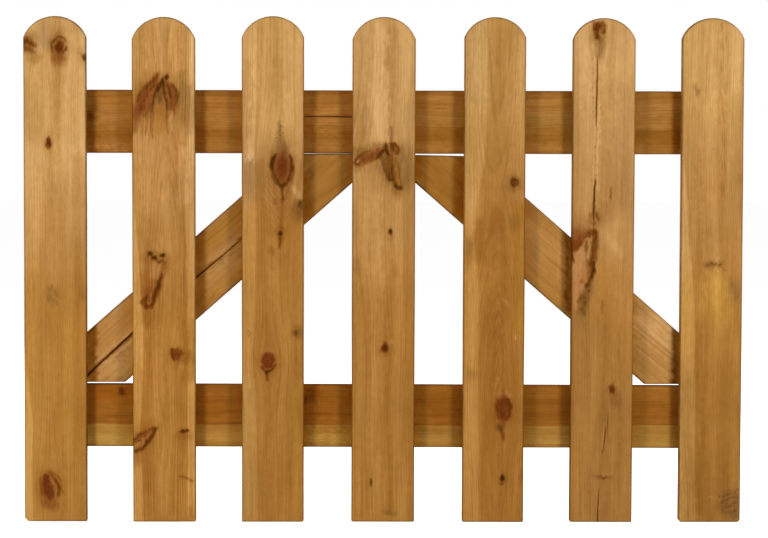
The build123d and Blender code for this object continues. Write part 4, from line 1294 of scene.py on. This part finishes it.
p = boards["pale_7"]
p.pith = dict(u=-95.0, d=85.0, s=2.4)
p.fade = (50, 190, 350)
p.edge(-1, [(678, 20), (683, 150), (687, 200), (690, 250), (694, 290), (695, 330), (695, 400), (695, 520)], 1.8)
p.wash("light", [(716, 20, 26), (716, 95, 26)], 0.55, 10)
p.wash("light", [(704, 110, 4), (704, 260, 4)], 0.90, 4)
p.wash("light", [(722, 95, 7), (722, 320, 7)], 0.90, 5)
p.wash("dim", [(711, 392, 34), (711, 520, 34)], 0.80, 14)
p.wash("dim", [(686, 385, 6), (686, 520, 6)], 0.90, 4)
p.wash("gold", [(713, 280, 12), (712, 308, 11)], 0.90, 7)
p.wash("pale", [(714, 284, 7), (712, 302, 6)], 0.35, 6)
p.wash("brown", [(699, 150, 3), (699, 300, 3)], 0.35, 3)
p.wash("brown", [(700, 325, 5), (699, 510, 5)], 0.45, 3.5)
p.wash("pale", [(710, 25, 5), (711, 260, 5)], 0.40, 4)
p.wash("pale", [(734, 30, 7), (735, 90, 7)], 0.60, 6)
p.wash("pale", [(722, 30, 6), (722, 90, 6)], 0.35, 5)
p.wash("brown", [(715, 470, 25), (715, 515, 25)], 0.25, 15)
p.dab("sienna", [(721.6, 23, 0.4), (721.8, 27, 0.7), (721.4, 32, 0.3)], 0.50, 0.9)
p.dab("buff", [(723.4, 25, 0.4), (723.6, 34, 0.5)], 0.45, 0.8)
for k in range(44):
    sx, sy = 719.6 + 7.0 * ((0.7549 * k) % 1.0), 22 + 168 * ((0.5698 * k) % 1.0)
    run = 2.2 + 2.4 * abs(math.sin(2.9 * k))
    p.dab("dusk" if k % 3 else "buff", [(sx, sy, 0.2), (sx + 0.2, sy + run, 0.32), (sx + 0.1, sy + 2 * run, 0.15)], 0.34, 0.6, 0.3)
p.wash("dim", [(715, 236, 14), (715, 256, 14)], 0.60, 8)
p.wash("straw", [(722, 284, 8), (719, 332, 8)], 0.60, 6)
p.wash("gold", [(720, 290, 9), (718, 326, 8)], 0.45, 7)
p.wash("honey", [(686, 262, 5), (688, 345, 6)], 0.45, 4)
p.veil("smoke", 696.5, 91, 3.5, 7, 0.60, 2.5)
p.dab("dusk", [(696.2, 88, 0.8), (696.6, 92, 1.2), (697, 95, 0.5)], 0.34, 1.4)
p.dab("olive", [(706, 264, 2.5), (720, 263, 3)], 0.50, 2.5)
p.grow(715, 265, 5, 2, 0.6, False)
p.veil("brown", 711, 265, 7, 4.5, 0.60, 3)
p.dab("dusk", [(706.5, 265.5, 1.2), (711, 264, 2.0), (714, 265, 1.2)], 0.55, 1.8)
p.dab("dusk", [(718, 265, 1.2), (721.5, 267, 1.0), (725, 271, 0.6)], 0.50, 1.6)
p.dab("umber", [(712.0, 263.0, 0.7), (713.6, 263.4, 0.6)], 0.70, 0.8)
p.dab("umber", [(720.0, 264.2, 0.8)], 0.60, 0.9)
p.dab("umber", [(716.4, 263.6, 0.5)], 0.45, 0.8)
for sx, sy in ((717, 257.5), (716.2, 260), (718.2, 262), (715, 266.2), (716.8, 268), (717.4, 270.6), (715.2, 269.4)):
    p.dab("buff", [(sx, sy, 0.55), (sx + 0.3, sy + 1.2, 0.35)], 0.62, 0.7)
p.dab("olive", [(730, 280, 1.5), (736, 290, 3.0), (738, 302, 2.4)], 0.50, 3.0)
p.wash("tan", [(738.5, 294, 3), (738, 335, 3.5)], 1.00, 3)
p.wash("light", [(730, 292, 3.5), (730, 325, 3.5)], 0.60, 4)
p.wash("light", [(704, 285, 3.5), (704, 330, 3.5)], 0.60, 4)
p.veil("grey", 736, 289, 6, 10, 0.75, 4, 20)
p.wash("honey", [(714, 20, 34), (714, 95, 34)], 0.30, 15)
p.veil("bruise", 732, 503, 11, 15, 0.88, 6)
p.veil("bruise", 722, 508, 6, 7, 0.35, 5)
p.veil("bruise", 735, 516, 6, 4, 0.55, 3)
for sx, sy, rx, ry in ((729, 507.5, 2.6, 1.6), (727, 512, 2.2, 1.3), (733, 503, 2.4, 1.2), (735, 511, 2.0, 1.4), (722, 505, 1.6, 1.0)):
    p.oval("sienna", sx, sy, rx, ry, 0.36, 1.8, -20)
p.dab("dusk", [(729.5, 489.5, 0.8), (733, 491.5, 1.2), (737, 494, 0.8)], 0.45, 1.6)
for x0, y0, x1, y1 in ((723, 497, 731, 493), (727, 500, 737, 497), (722, 503, 728, 500), (730, 505, 739, 501), (725, 509, 734, 506), (731, 514, 738, 510), (735, 492, 739, 489)):
    p.dab("umber", [(x0, y0, 0.3), ((x0 + x1) / 2, (y0 + y1) / 2 - 0.8, 0.6), (x1, y1, 0.3)], 0.36, 1.0)
    p.dab("rose", [(x0 + 1, y0 + 1.8, 0.3), ((x0 + x1) / 2, (y0 + y1) / 2 + 1.2, 0.5), (x1, y1 + 2, 0.3)], 0.26, 0.9)
p.oval("umber", 719.6, 496.4, 0.7, 0.7, 0.60, 0.8)
p.dab("buff", [(708, 496.6, 0.5), (712, 496.8, 0.5)], 0.50, 0.7)
p.veil("brown", 740, 180, 3, 5, 0.50, 2.5)

def shadows_beside_pales(p, pairs, y0, y1, amount):
    """Painted shadow beside the pales on the rails and braces, placed by the pales' edges."""
    for x0, x1 in pairs:
        p.wash("deep", [(x0, y0, 6), (x0, y1, 6)], amount, 5)
        p.wash("deep", [(x1, y0, 8), (x1, y1, 8)], amount, 6)


def rake(p, run, dy, tint, r, amount, soft):
    """A streak along a brace, dy below its upper edge, which run gives across one gap."""
    x0, y0, x1, y1 = run
    p.wash(tint, [(x0, y0 + dy, r), (x1, y1 + dy, r)], amount, soft, 0.6)


GAPS = [(87, 133), (196, 243), (303.5, 352), (414, 464), (524, 570.5), (633, 680)]

p = boards["top_rail"]
p.pith = dict(u=-60.0, d=70.0, s=2.5)
# painted shadow beside each pale on the top rail
shadows_beside_pales(p, GAPS, 86, 158, 0.75)
p.wash("pale", [(60, 112, 6), (250, 113, 6), (420, 112, 6), (720, 110, 7)], 0.45, 6)
p.wash("pale", [(520, 110, 4), (720, 110, 5)], 0.40, 6)
p.wash("tan", [(60, 133, 5), (400, 133, 6), (720, 136, 7)], 1.00, 4)
p.wash("honey", [(60, 134, 5), (400, 135, 6), (720, 138, 7)], 0.80, 4)
p.wash("pale", [(60, 147, 4), (260, 148, 3), (400, 149, 2.5), (560, 148, 3), (640, 151, 2)], 0.70, 3)
p.veil("shade", 94, 112, 6, 12, 0.40, 4)
p.grow(90, 116, 3.4, 4.0)
p.oval("umber", 90, 116.5, 2.8, 4.0, 0.60, 1.8)
for k in range(34):
    sx, sy = 94 + 37 * ((0.7549 * k) % 1.0), 142.5 + 8.5 * ((0.5698 * k) % 1.0)
    p.dab("buff", [(sx - 1.6, sy, 0.25), (sx + 1.4, sy + 0.15, 0.3)], 0.30 + 0.25 * abs(math.sin(5.3 * k)), 0.55, 0.2)
for k in range(12):
    sx, sy = 322 + 16 * ((0.7549 * k) % 1.0), 130.5 + 5.0 * ((0.5698 * k) % 1.0)
    p.dab("buff", [(sx - 1.4, sy, 0.25), (sx + 1.2, sy + 0.2, 0.3)], 0.34, 0.55, 0.2)
for k in range(14):
    sx, sy = 430 + 26 * ((0.7549 * k) % 1.0), 95 + 16 * ((0.5698 * k) % 1.0)
    p.dab("buff", [(sx - 3.0, sy, 0.25), (sx + 3.0, sy + 0.1, 0.3)], 0.44, 0.6, 0.2)
p.wash("straw", [(530, 121, 32), (700, 121, 32)], 0.80, 10)
p.wash("light", [(60, 102, 7), (470, 102, 7), (600, 102, 6)], 0.90, 4)
p.wash("straw", [(415, 119, 5), (575, 119, 5)], 0.70, 4)
p.wash("tan", [(638, 138, 8), (684, 138, 8)], 0.90, 4)
# painted shadow in narrow strips beside the pales' edges
for x, y0, y1, amount in ((89, 114, 139, 0.90), (199, 114, 150, 0.65), (306, 114, 126, 0.50), (349, 130, 148, 0.45), (461, 130, 150, 0.70), (571, 94, 110, 0.50), (678, 94, 126, 0.50), (678, 130, 150, 1.00)):
    p.wash("painted_shadow", [(x, y0, 4), (x, y1, 4)], amount, 4)
p.wash("light", [(150, 121, 32), (290, 121, 32)], 0.55, 10)
p.dab("sienna", [(304, 116.2, 1.0), (326, 116.0, 1.5), (352, 116.4, 1.3)], 0.66, 0.9, 0.3)
p.dab("buff", [(312, 114.3, 0.3), (322, 113.9, 0.5), (334, 114.0, 0.4)], 0.55, 0.7, 0.2)
p.crack([(240, 119.0, 0.0), (296, 117.2, 0.05), (310, 116.5, 0.30), (330, 116.5, 0.42), (345, 116.9, 0.60), (358, 117.0, 0.5), (372, 116.2, 0.0)], 3.0)
# painted shade widening the shadows to the right of pales 1 to 3
for x, r in ((95.5, 2.4), (204.5, 2.6), (314, 4.0)):
    p.wash("brown", [(x, 88, r), (x, 154, r)], 0.75, 3)
p.oval("buff", 439, 98, 12, 3, 0.22, 2.5)
p.veil("pale", 638, 147, 5, 7, 0.85, 3)
p.veil("brown", 655, 118, 14, 3, 0.50, 2)
p.veil("brown", 676, 118, 6, 11, 0.60, 4)

p = boards["bottom_rail"]
p.pith = dict(u=-110.0, d=45.0, s=2.5)
p.edge(1, [(20, 423), (110, 424), (330, 425), (560, 426), (745, 425)], 0.9)
# painted shadow beside each pale on the bottom rail
shadows_beside_pales(p, GAPS, 380, 450, 0.75)
p.wash("light", [(60, 419, 3), (480, 420, 2.5)], 0.90, 3)
p.wash("light", [(60, 434, 8), (262, 435, 8)], 0.80, 4)
p.wash("gold", [(60, 405, 4), (260, 411, 5)], 0.70, 4)
p.wash("pale", [(430, 387, 2), (720, 387, 3)], 0.80, 2.5)
p.knot(122.7, 390.8, 2.8, 3.0, 0.6)
p.veil("shade", 310, 393, 5, 9, 0.50, 3)
p.dab("umber", [(305.5, 398, 0.7), (306.5, 402, 1.2), (306, 405, 0.5)], 0.70, 1.0)
for k in range(30):
    sx, sy = 308 + 42 * ((0.7549 * k) % 1.0), 426.5 + 17 * ((0.5698 * k) % 1.0)
    p.dab("buff", [(sx - 1.7, sy, 0.25), (sx + 1.6, sy + 0.2, 0.35)], 0.30 + 0.40 * abs(math.sin(4.1 * k)), 0.55, 0.2)
p.wash("straw", [(530, 415, 34), (700, 415, 34)], 0.75, 10)
p.wash("light", [(60, 403, 18), (262, 403, 18)], 0.55, 6)
p.wash("straw", [(60, 436, 9), (134, 436, 9)], 0.95, 4)
p.wash("light", [(632, 403, 18), (690, 403, 18)], 0.50, 6)
# painted shadow along the top of the rail in gap 1 and beside pale 3
p.wash("painted_shadow", [(80, 393, 7), (140, 393, 7)], 0.62, 4)
p.wash("painted_shadow", [(302, 393, 6), (318, 393, 6)], 0.62, 4)
p.wash("light", [(412, 412, 7), (424, 412, 7)], 1.00, 4)
p.wash("straw", [(412, 412, 7), (424, 412, 7)], 0.80, 4)
p.wash("straw", [(104, 413, 6), (136, 413, 6)], 0.70, 4)
# painted shadow in narrow strips beside the pales' edges
for x, y0, y1, amount in ((89, 405, 420, 0.40), (199, 386, 420, 0.60), (242, 386, 402, 0.40), (306, 404, 445, 0.50), (350, 386, 402, 0.45), (417, 430, 445, 0.30), (461, 388, 445, 0.55), (527, 430, 445, 0.30), (570, 386, 445, 0.62), (678, 386, 445, 0.66)):
    p.wash("painted_shadow", [(x, y0, 4), (x, y1, 4)], amount, 4)
p.wash("honey", [(296, 435, 8), (362, 435, 8)], 0.90, 5)
p.wash("brown", [(316, 386, 3), (316, 424, 3)], 0.60, 3)
p.wash("honey", [(296, 405, 15), (470, 405, 15)], 0.70, 6)

p = boards["left_brace"]
p.pith = dict(u=14.0, d=95.0, s=2.6)
# painted shadow beside each pale on the left brace
shadows_beside_pales(p, GAPS[:1], 290, 400, 0.80)
shadows_beside_pales(p, GAPS[1:2], 200, 330, 0.80)
shadows_beside_pales(p, GAPS[2:3], 150, 260, 0.80)
p.wash("pale", [(80, 380, 26), (140, 325, 26)], 0.95, 12)
p.wash("pale", [(190, 280, 24), (236, 240, 24)], 0.35, 12)
p.wash("honey", [(310, 190, 30), (350, 160, 30)], 0.90, 14)
p.fine = 1.5
p.wash("light", [(80, 380, 26), (140, 325, 26)], 0.70, 10)
# painted shadow beside the pales, with a dark painted line at the shadow's edge by pale 1
p.wash("painted_shadow", [(91, 322, 5), (91, 388, 5)], 1.00, 3.5)
p.wash("smoke", [(95.6, 318, 1.8), (95.6, 388, 1.8)], 0.85, 2.4)
p.wash("painted_shadow", [(200, 222, 4.5), (200, 305, 4.5)], 0.75, 4)
p.wash("painted_shadow", [(307, 178, 4.5), (307, 215, 4.5)], 0.80, 4)
p.wash("painted_shadow", [(349, 152, 4), (349, 178, 4)], 0.70, 4)
p.wash("straw", [(118, 372, 8), (132, 358, 8)], 0.90, 6)
p.wash("light", [(214, 284, 9), (232, 268, 9)], 0.90, 6)
p.dab("sienna", [(88, 374.5, 1.7), (104, 359, 1.6), (112, 351.5, 1.2), (122, 342.5, 1.3), (134, 331.5, 1.3)], 0.72, 1.0)
p.dab("sienna", [(196, 277.2, 1.5), (207, 268.2, 1.3), (215, 261.2, 1.0), (226, 252.4, 1.0), (239, 241.6, 1.0)], 0.66, 1.0)
p.crack([(70, 391, 0.6), (88, 375, 1.05), (96, 367, 0.7), (110, 354, 0.65), (122, 343, 0.7), (132, 333.5, 0.95), (165, 304, 0.9), (197, 277, 0.78), (207.4, 268.2, 0.6), (219, 258.4, 0.5), (226, 252.6, 0.45), (234.5, 245, 0.30), (250.5, 231, 0.0)], 5.0)
for sx, sy, r in ((117, 357, 0.9), (121, 352, 1.1), (124.5, 356, 0.8), (127, 347, 1.0), (130, 350, 0.9), (119.5, 361, 0.7), (125, 361, 1.0), (132, 342, 0.8), (113, 361, 0.6), (129, 356, 0.6)):
    p.oval("dusk", sx, sy, r, r * 0.8, 0.46, 1.1)
p.veil("grey", 123, 354, 10, 6, 0.40, 4, -42)
p.oval("buff", 232, 258, 8, 8, 0.25, 4)
for k in range(18):
    sx = 202 + 37 * ((0.7549 * k) % 1.0)
    sy = 275.5 - 0.86 * (sx - 202) + 6.0 * ((0.5698 * k) % 1.0)
    p.dab("umber" if k % 3 else "buff", [(sx - 0.7, sy + 0.5, 0.25), (sx + 0.8, sy - 0.6, 0.35)], 0.34, 0.6, 0.3)
p.dab("umber", [(236, 240, 0.4), (244, 236, 0.8), (241, 244, 0.5)], 0.55, 1.1)
# the shade streak 40 below the upper edge lies on the check: painted shade in its groove
for dy, tint, r, amount, soft in ((2, "pale", 1.8, 1.00, 2), (2, "straw", 1.6, 0.80, 2), (7, "light", 2.5, 0.80, 2), (25, "tan", 1.6, 0.90, 1.5),
                                  (35, "straw", 1.6, 1.00, 1.4), (35, "pale", 1.4, 0.35, 1.4), (40, "shade", 1.2, 0.80, 1.0), (45, "straw", 1.6, 1.00, 1.4), (45, "pale", 1.4, 0.45, 1.4)):
    rake(p, (84, 337.2, 136, 291.8), dy, tint, r, amount, soft)
for dy, tint, r, amount, soft in ((1, "straw", 0.8, 1.00, 1.2), (13, "honey", 6.5, 1.00, 3), (14, "honey", 6.0, 0.55, 3), (35, "straw", 1.8, 1.00, 1.5),
                                  (40, "honey", 0.9, 1.00, 0.9), (45, "straw", 1.8, 1.00, 1.5), (50, "straw", 2.0, 0.60, 2), (72, "honey", 4.0, 0.80, 3)):
    rake(p, (193, 241.4, 246, 194.5), dy, tint, r, amount, soft)
for sx, sy in ((311.2, 171.0), (312.2, 173.6), (306.2, 178.4), (311.4, 177.0)):
    p.dab("umber", [(sx, sy, 0.4), (sx + 0.3, sy + 1.4, 0.5)], 0.42, 0.9)

p = boards["right_brace"]
p.pith = dict(u=-75.0, d=60.0, s=2.6)
# painted shadow beside each pale on the right brace
shadows_beside_pales(p, GAPS[3:4], 150, 260, 0.80)
shadows_beside_pales(p, GAPS[4:5], 200, 330, 0.80)
shadows_beside_pales(p, GAPS[5:6], 290, 400, 0.80)
p.wash("honey", [(410, 160, 30), (460, 195, 30)], 0.90, 14)
p.wash("red", [(410, 160, 30), (460, 195, 30)], 0.28, 14)
# painted shadow beside the pales: dark strips, with a painted lighter line at the edge of the shadow by pale 6
p.wash("painted_shadow", [(417, 152, 4.5), (417, 172, 4.5)], 0.95, 4)
p.wash("painted_shadow", [(461, 156, 5), (461, 215, 5)], 0.95, 4)
p.wash("painted_shadow", [(569.5, 222, 2.6), (569.5, 310, 2.6)], 1.00, 2)
p.wash("smoke", [(569.5, 222, 2.6), (569.5, 310, 2.6)], 0.60, 2)
p.wash("shade", [(566.6, 222, 1.2), (566.6, 310, 1.2)], 0.70, 1.4, 0.5)
p.wash("light", [(559.6, 222, 1.8), (559.6, 310, 1.8)], 1.00, 2, 0.5)
p.wash("painted_shadow", [(676.5, 325, 4.5), (676.5, 390, 4.5)], 1.00, 2.2)
p.wash("smoke", [(676.5, 325, 4.5), (676.5, 390, 4.5)], 0.75, 2.2)
p.wash("shade", [(674.4, 325, 2.0), (674.4, 390, 2.0)], 0.60, 1.5, 0.5)
p.wash("pale", [(530, 240, 26), (575, 280, 26)], 0.95, 12)
p.wash("pale", [(632, 335, 30), (690, 385, 30)], 0.95, 10)
p.wash("straw", [(632, 335, 30), (690, 385, 30)], 0.60, 10)
p.wash("pale", [(640, 322, 10), (680, 352, 10)], 0.90, 6)
p.dab("sienna", [(634, 323, 0.4), (652, 338, 0.6), (670, 353, 0.4)], 0.40, 1.0, 0.15)
p.dab("sienna", [(634, 329, 0.4), (655, 346, 0.7), (678, 365, 0.4)], 0.45, 1.2, 0.15)
p.dab("sienna", [(636, 345, 0.5), (655, 360, 0.7), (676, 377, 0.4)], 0.40, 1.2, 0.15)
p.wash("pale", [(636, 322, 12), (680, 356, 12)], 0.70, 6)
p.dab("sienna", [(548, 258, 1), (562, 270, 1.4), (574, 280, 1)], 0.35, 1.4)
for dy, tint, r, amount, soft in ((2, "straw", 1.2, 1.00, 1.5), (20, "light", 5.0, 0.35, 4), (72, "honey", 3.0, 0.60, 3)):
    rake(p, (521, 194.5, 573, 240.5), dy, tint, r, amount, soft)
for dy, tint, r, amount, soft in ((2, "pale", 2.4, 1.00, 2.2), (2.5, "pale", 2.6, 1.00, 2.2), (5, "straw", 4.2, 1.00, 2.4), (16, "dim", 2.5, 0.60, 2.5),
                                  (28, "dim", 2.6, 1.00, 2.2), (29, "tan", 2.0, 0.40, 2), (48, "pale", 2.6, 0.85, 2.4)):
    rake(p, (630, 290.6, 684, 337.9), dy, tint, r, amount, soft)

# ------------------------------------------------------------------ colours, board by board
def woods(heart, **more):
    return dict(heart=heart + (1.0,), sap=(heart[0] * 1.27, heart[1] * 1.40, heart[2] * 1.75, 1.0), **more)


looks = {
    "pale_1": woods((0.465, 0.232, 0.057), fine=1.2),
    "pale_2": woods((0.470, 0.231, 0.056), fine=1.9, contrast=1.3),
    "pale_3": woods((0.432, 0.208, 0.050), fine=1.35),
    "pale_4": woods((0.468, 0.236, 0.061), fine=1.3, contrast=1.1),
    "pale_5": woods((0.412, 0.194, 0.044), fine=1.3, contrast=1.25),
    "pale_6": woods((0.440, 0.222, 0.062), fine=1.15, contrast=0.8),
    "pale_7": woods((0.440, 0.220, 0.054), fine=1.2),
    "top_rail": woods((0.390, 0.164, 0.031), contrast=1.3, fine=1.1, blue=1.2),
    "bottom_rail": dict(sap=(0.46, 0.230, 0.044, 1.0), heart=(0.325, 0.115, 0.014, 1.0), contrast=1.3, fine=1.1, blue=1.6),
    "left_brace": woods((0.410, 0.187, 0.044), contrast=1.0, fine=0.95),
    "right_brace": woods((0.410, 0.187, 0.040), contrast=0.85, fine=0.72),
}
pieces = {}
for k, (node, b) in enumerate(boards.items()):
    ob = make_board(b, looks[node], 1.7 * k)
    pieces[node] = ob

# ------------------------------------------------------------------ screws, driven from the back
def steel(name):
    g = Graph(name)
    tc = g.t.nodes.new("ShaderNodeTexCoord")
    at = tc.outputs["Object"]
    fine = g.noise(g.vmul(at, (900.0, 900.0, 900.0)), 4.0, 0.6)
    wide = g.noise(g.vmul(at, (260.0, 260.0, 260.0)), 3.0, 0.6)
    base = g.mix(g.range(wide, 0.35, 0.70), (0.56, 0.50, 0.38, 1.0), (0.42, 0.38, 0.31, 1.0))
    base = g.mix(g.range(fine, 0.60, 0.78, 0.0, 0.8), base, (0.16, 0.09, 0.04, 1.0))
    g.put(base, g.bsdf.inputs["Base Color"])
    g.bsdf.inputs["Metallic"].default_value = 1.0
    g.put(g.range(fine, 0.3, 0.7, 0.34, 0.56), g.bsdf.inputs["Roughness"])
    return g.mat


def screw_points():
    """Where the screws sit, x and z in mm on the back faces."""
    out = []
    for n, (xf, xh, w, foot, head, bl, br) in enumerate(PALES):
        for mid, tilt in RAILS.values():
            x = xf + (xh - xf) * mid / 704.0
            s = 1.0 if n % 2 else -1.0
            out += [(x - 19.0, FOOT_Z + mid + 21.0 * s), (x + 19.0, FOOT_Z + mid - 21.0 * s)]
    for node, (slope, w, cross, top, st, foot, sf, side) in BRACES.items():
        t = math.tan(math.radians(slope))
        for n in ((1, 2) if side < 0 else (4, 5)):
            xf, xh = PALES[n][0], PALES[n][1]
            x = xf + (xh - xf) * 0.5
            z = cross - abs(x) * t + w / 2 / math.cos(math.radians(slope))
            out += [(x - 15.0, FOOT_Z + z - side * 15.0 * t * 0.35 + 12.0), (x + 15.0, FOOT_Z + z + side * 15.0 * t * 0.35 - 12.0)]
        x = side * 425.0
        out.append((x, FOOT_Z + cross - 425.0 * t + w / 2 / math.cos(math.radians(slope)) + 22.0))
        x = side * 30.0
        out.append((x, FOOT_Z + cross - 30.0 * t + 14.0))
    return out


def screws():
    import bmesh
    bm = bmesh.new()
    R_HEAD, SEG, ARM, HALF = 4.0, 36, 2.35, 0.62
    for k, (x, z) in enumerate(screw_points()):
        spin = 2.4 * k + 0.7 * math.sin(5.1 * k)
        top = -0.06 - 0.05 * (0.5 + 0.5 * math.sin(3.3 * k))

        def vert(r, a, y):
            return bm.verts.new(((x + r * math.cos(a)) * 0.001, y * 0.001, (z + r * math.sin(a)) * 0.001))

        def local(p, q, y):
            c, s = math.cos(spin), math.sin(spin)
            return bm.verts.new(((x + p * c - q * s) * 0.001, y * 0.001, (z + p * s + q * c) * 0.001))

        # a ring of points out from the cross recess to the rim, by angle from the recess
        angles = [i * 2 * math.pi / SEG for i in range(SEG)]
        inner_at = []
        for a in angles:
            c, s = abs(math.cos(a)), abs(math.sin(a))
            r = min(ARM / max(c, s), HALF / max(min(c, s), 1e-6))
            inner_at.append(max(r, HALF * 1.15))
        rings = []
        for share, y in ((0.0, top - 0.14), (0.35, top - 0.02), (0.80, top), (0.95, top - 0.06), (1.0, top - 0.22)):
            ring = []
            for a, ri in zip(angles, inner_at):
                r = ri + (R_HEAD - ri) * share
                ring.append(local(r * math.cos(a), r * math.sin(a), y))
            rings.append(ring)
        cone = [vert(R_HEAD * 0.62, a + spin, top - 2.0) for a in angles]
        tip = [vert(R_HEAD * 0.40, a + spin, top - 3.4) for a in angles]
        floor = []
        for a, ri in zip(angles, inner_at):
            r = ri * 0.62
            floor.append(local(r * math.cos(a), r * math.sin(a), top - 1.7))
        chain = [floor] + rings + [cone, tip]
        for r0, r1 in zip(chain[:-1], chain[1:]):
            for i in range(SEG):
                j = (i + 1) % SEG
                bm.faces.new((r0[i], r1[i], r1[j], r0[j]))
        bm.faces.new(floor[::-1])
        bm.faces.new(tip)
    bmesh.ops.recalc_face_normals(bm, faces=bm.faces)
    me = bpy.data.meshes.new("screws")
    bm.to_mesh(me)
    bm.free()
    me.polygons.foreach_set("use_smooth", np.ones(len(me.polygons), bool))
    me.set_sharp_from_angle(angle=math.radians(32))
    me.materials.append(steel("zinc_steel"))
    ob = bpy.data.objects.new("screws", me)
    bpy.context.collection.objects.link(ob)
    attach(ob, "root")
    return ob


screws()

# ------------------------------------------------------------------ floor, lights, camera
def flat_material(name, colour, rough, glow):
    g = Graph(name)
    tc = g.t.nodes.new("ShaderNodeTexCoord")
    n = g.noise(g.vmul(tc.outputs["Object"], (3.0, 3.0, 3.0)), 3.0, 0.5)
    c = g.mix(g.range(n, 0.3, 0.7), colour, tuple(0.985 * x for x in colour[:3]) + (1.0,))
    g.put(c, g.bsdf.inputs["Base Color"])
    g.bsdf.inputs["Roughness"].default_value = rough
    g.bsdf.inputs["Emission Color"].default_value = (1.0, 1.0, 1.0, 1.0)
    g.bsdf.inputs["Emission Strength"].default_value = glow
    return g.mat


fm = bpy.data.meshes.new("studio_floor")
X0, X1, Y0, Y1 = -9.0, 9.0, -9.0, 9.0
zf = (FOOT_Z - 0.2) * 0.001
fm.from_pydata([(X0, Y0, zf), (X1, Y0, zf), (X1, Y1, zf), (X0, Y1, zf)], [], [(0, 1, 2, 3)])
floor = bpy.data.objects.new("studio_floor", fm)
bpy.context.collection.objects.link(floor)
fm.materials.append(flat_material("floor_paper", (0.80, 0.80, 0.80, 1.0), 0.8, 0.86))
floor.visible_diffuse = floor.visible_glossy = False

world = bpy.data.worlds.new("studio")
bpy.context.scene.world = world
world.use_nodes = True
wt = world.node_tree
bg = wt.nodes["Background"]
bg.inputs[0].default_value = (1.0, 1.0, 1.0, 1.0)
seen = wt.nodes.new("ShaderNodeLightPath")          # the paper behind is bright, its light on the gate is not
lift = wt.nodes.new("ShaderNodeMapRange")
wt.links.new(seen.outputs["Is Camera Ray"], lift.inputs[0])
lift.inputs[3].default_value, lift.inputs[4].default_value = 0.15, 1.0
wt.links.new(lift.outputs[0], bg.inputs[1])


def area(name, at, aim, size, power, colour=(1, 1, 1)):
    la = bpy.data.lights.new(name, "AREA")
    la.shape, la.size, la.size_y = "RECTANGLE", size[0], size[1]
    la.energy, la.color = power, colour
    ob = bpy.data.objects.new(name, la)
    bpy.context.collection.objects.link(ob)
    ob.location = at
    from mathutils import Vector
    ob.rotation_euler = (Vector(aim) - Vector(at)).to_track_quat("-Z", "Y").to_euler()
    return ob


area("left_box", (-1.30, -1.40, -0.05), (-0.15, 0.0, -0.2), (0.40, 1.0), 18.5)
area("right_box", (1.30, -1.40, -0.05), (0.15, 0.0, -0.2), (0.40, 1.0), 19.0)
area("front_fill", (0.0, -4.6, 0.9), (0.0, 0.0, -0.2), (2.0, 1.4), 16.0)
area("back_left", (-1.5, 2.0, 0.5), (0.0, 0.0, -0.2), (0.8, 1.0), 32.0)
area("back_right", (1.7, 1.8, 0.3), (0.0, 0.0, -0.2), (0.8, 1.0), 26.0)
area("side_left", (-2.6, 0.5, 0.1), (-0.5, 0.0, -0.2), (0.8, 1.0), 14.0)
area("side_right", (2.6, 0.5, 0.1), (0.5, 0.0, -0.2), (0.8, 1.0), 14.0)

cam = bpy.data.cameras.new("camera")
cam.sensor_fit = "HORIZONTAL"
cam.sensor_width = 36.0
cam.lens = CAM_F * 36.0 / 768.0
cam.clip_end = 60.0
co = bpy.data.objects.new("camera", cam)
bpy.context.collection.objects.link(co)
from mathutils import Matrix
m = Matrix.Identity(4)
for i in range(3):
    m[i][0], m[i][1], m[i][2], m[i][3] = RIGHT[i], UP[i], -FWD[i], CAM_AT[i] * 0.001
co.matrix_world = m
bpy.context.scene.camera = co
bpy.context.scene.view_settings.view_transform = "Standard"
bpy.context.scene.view_settings.look = "None"
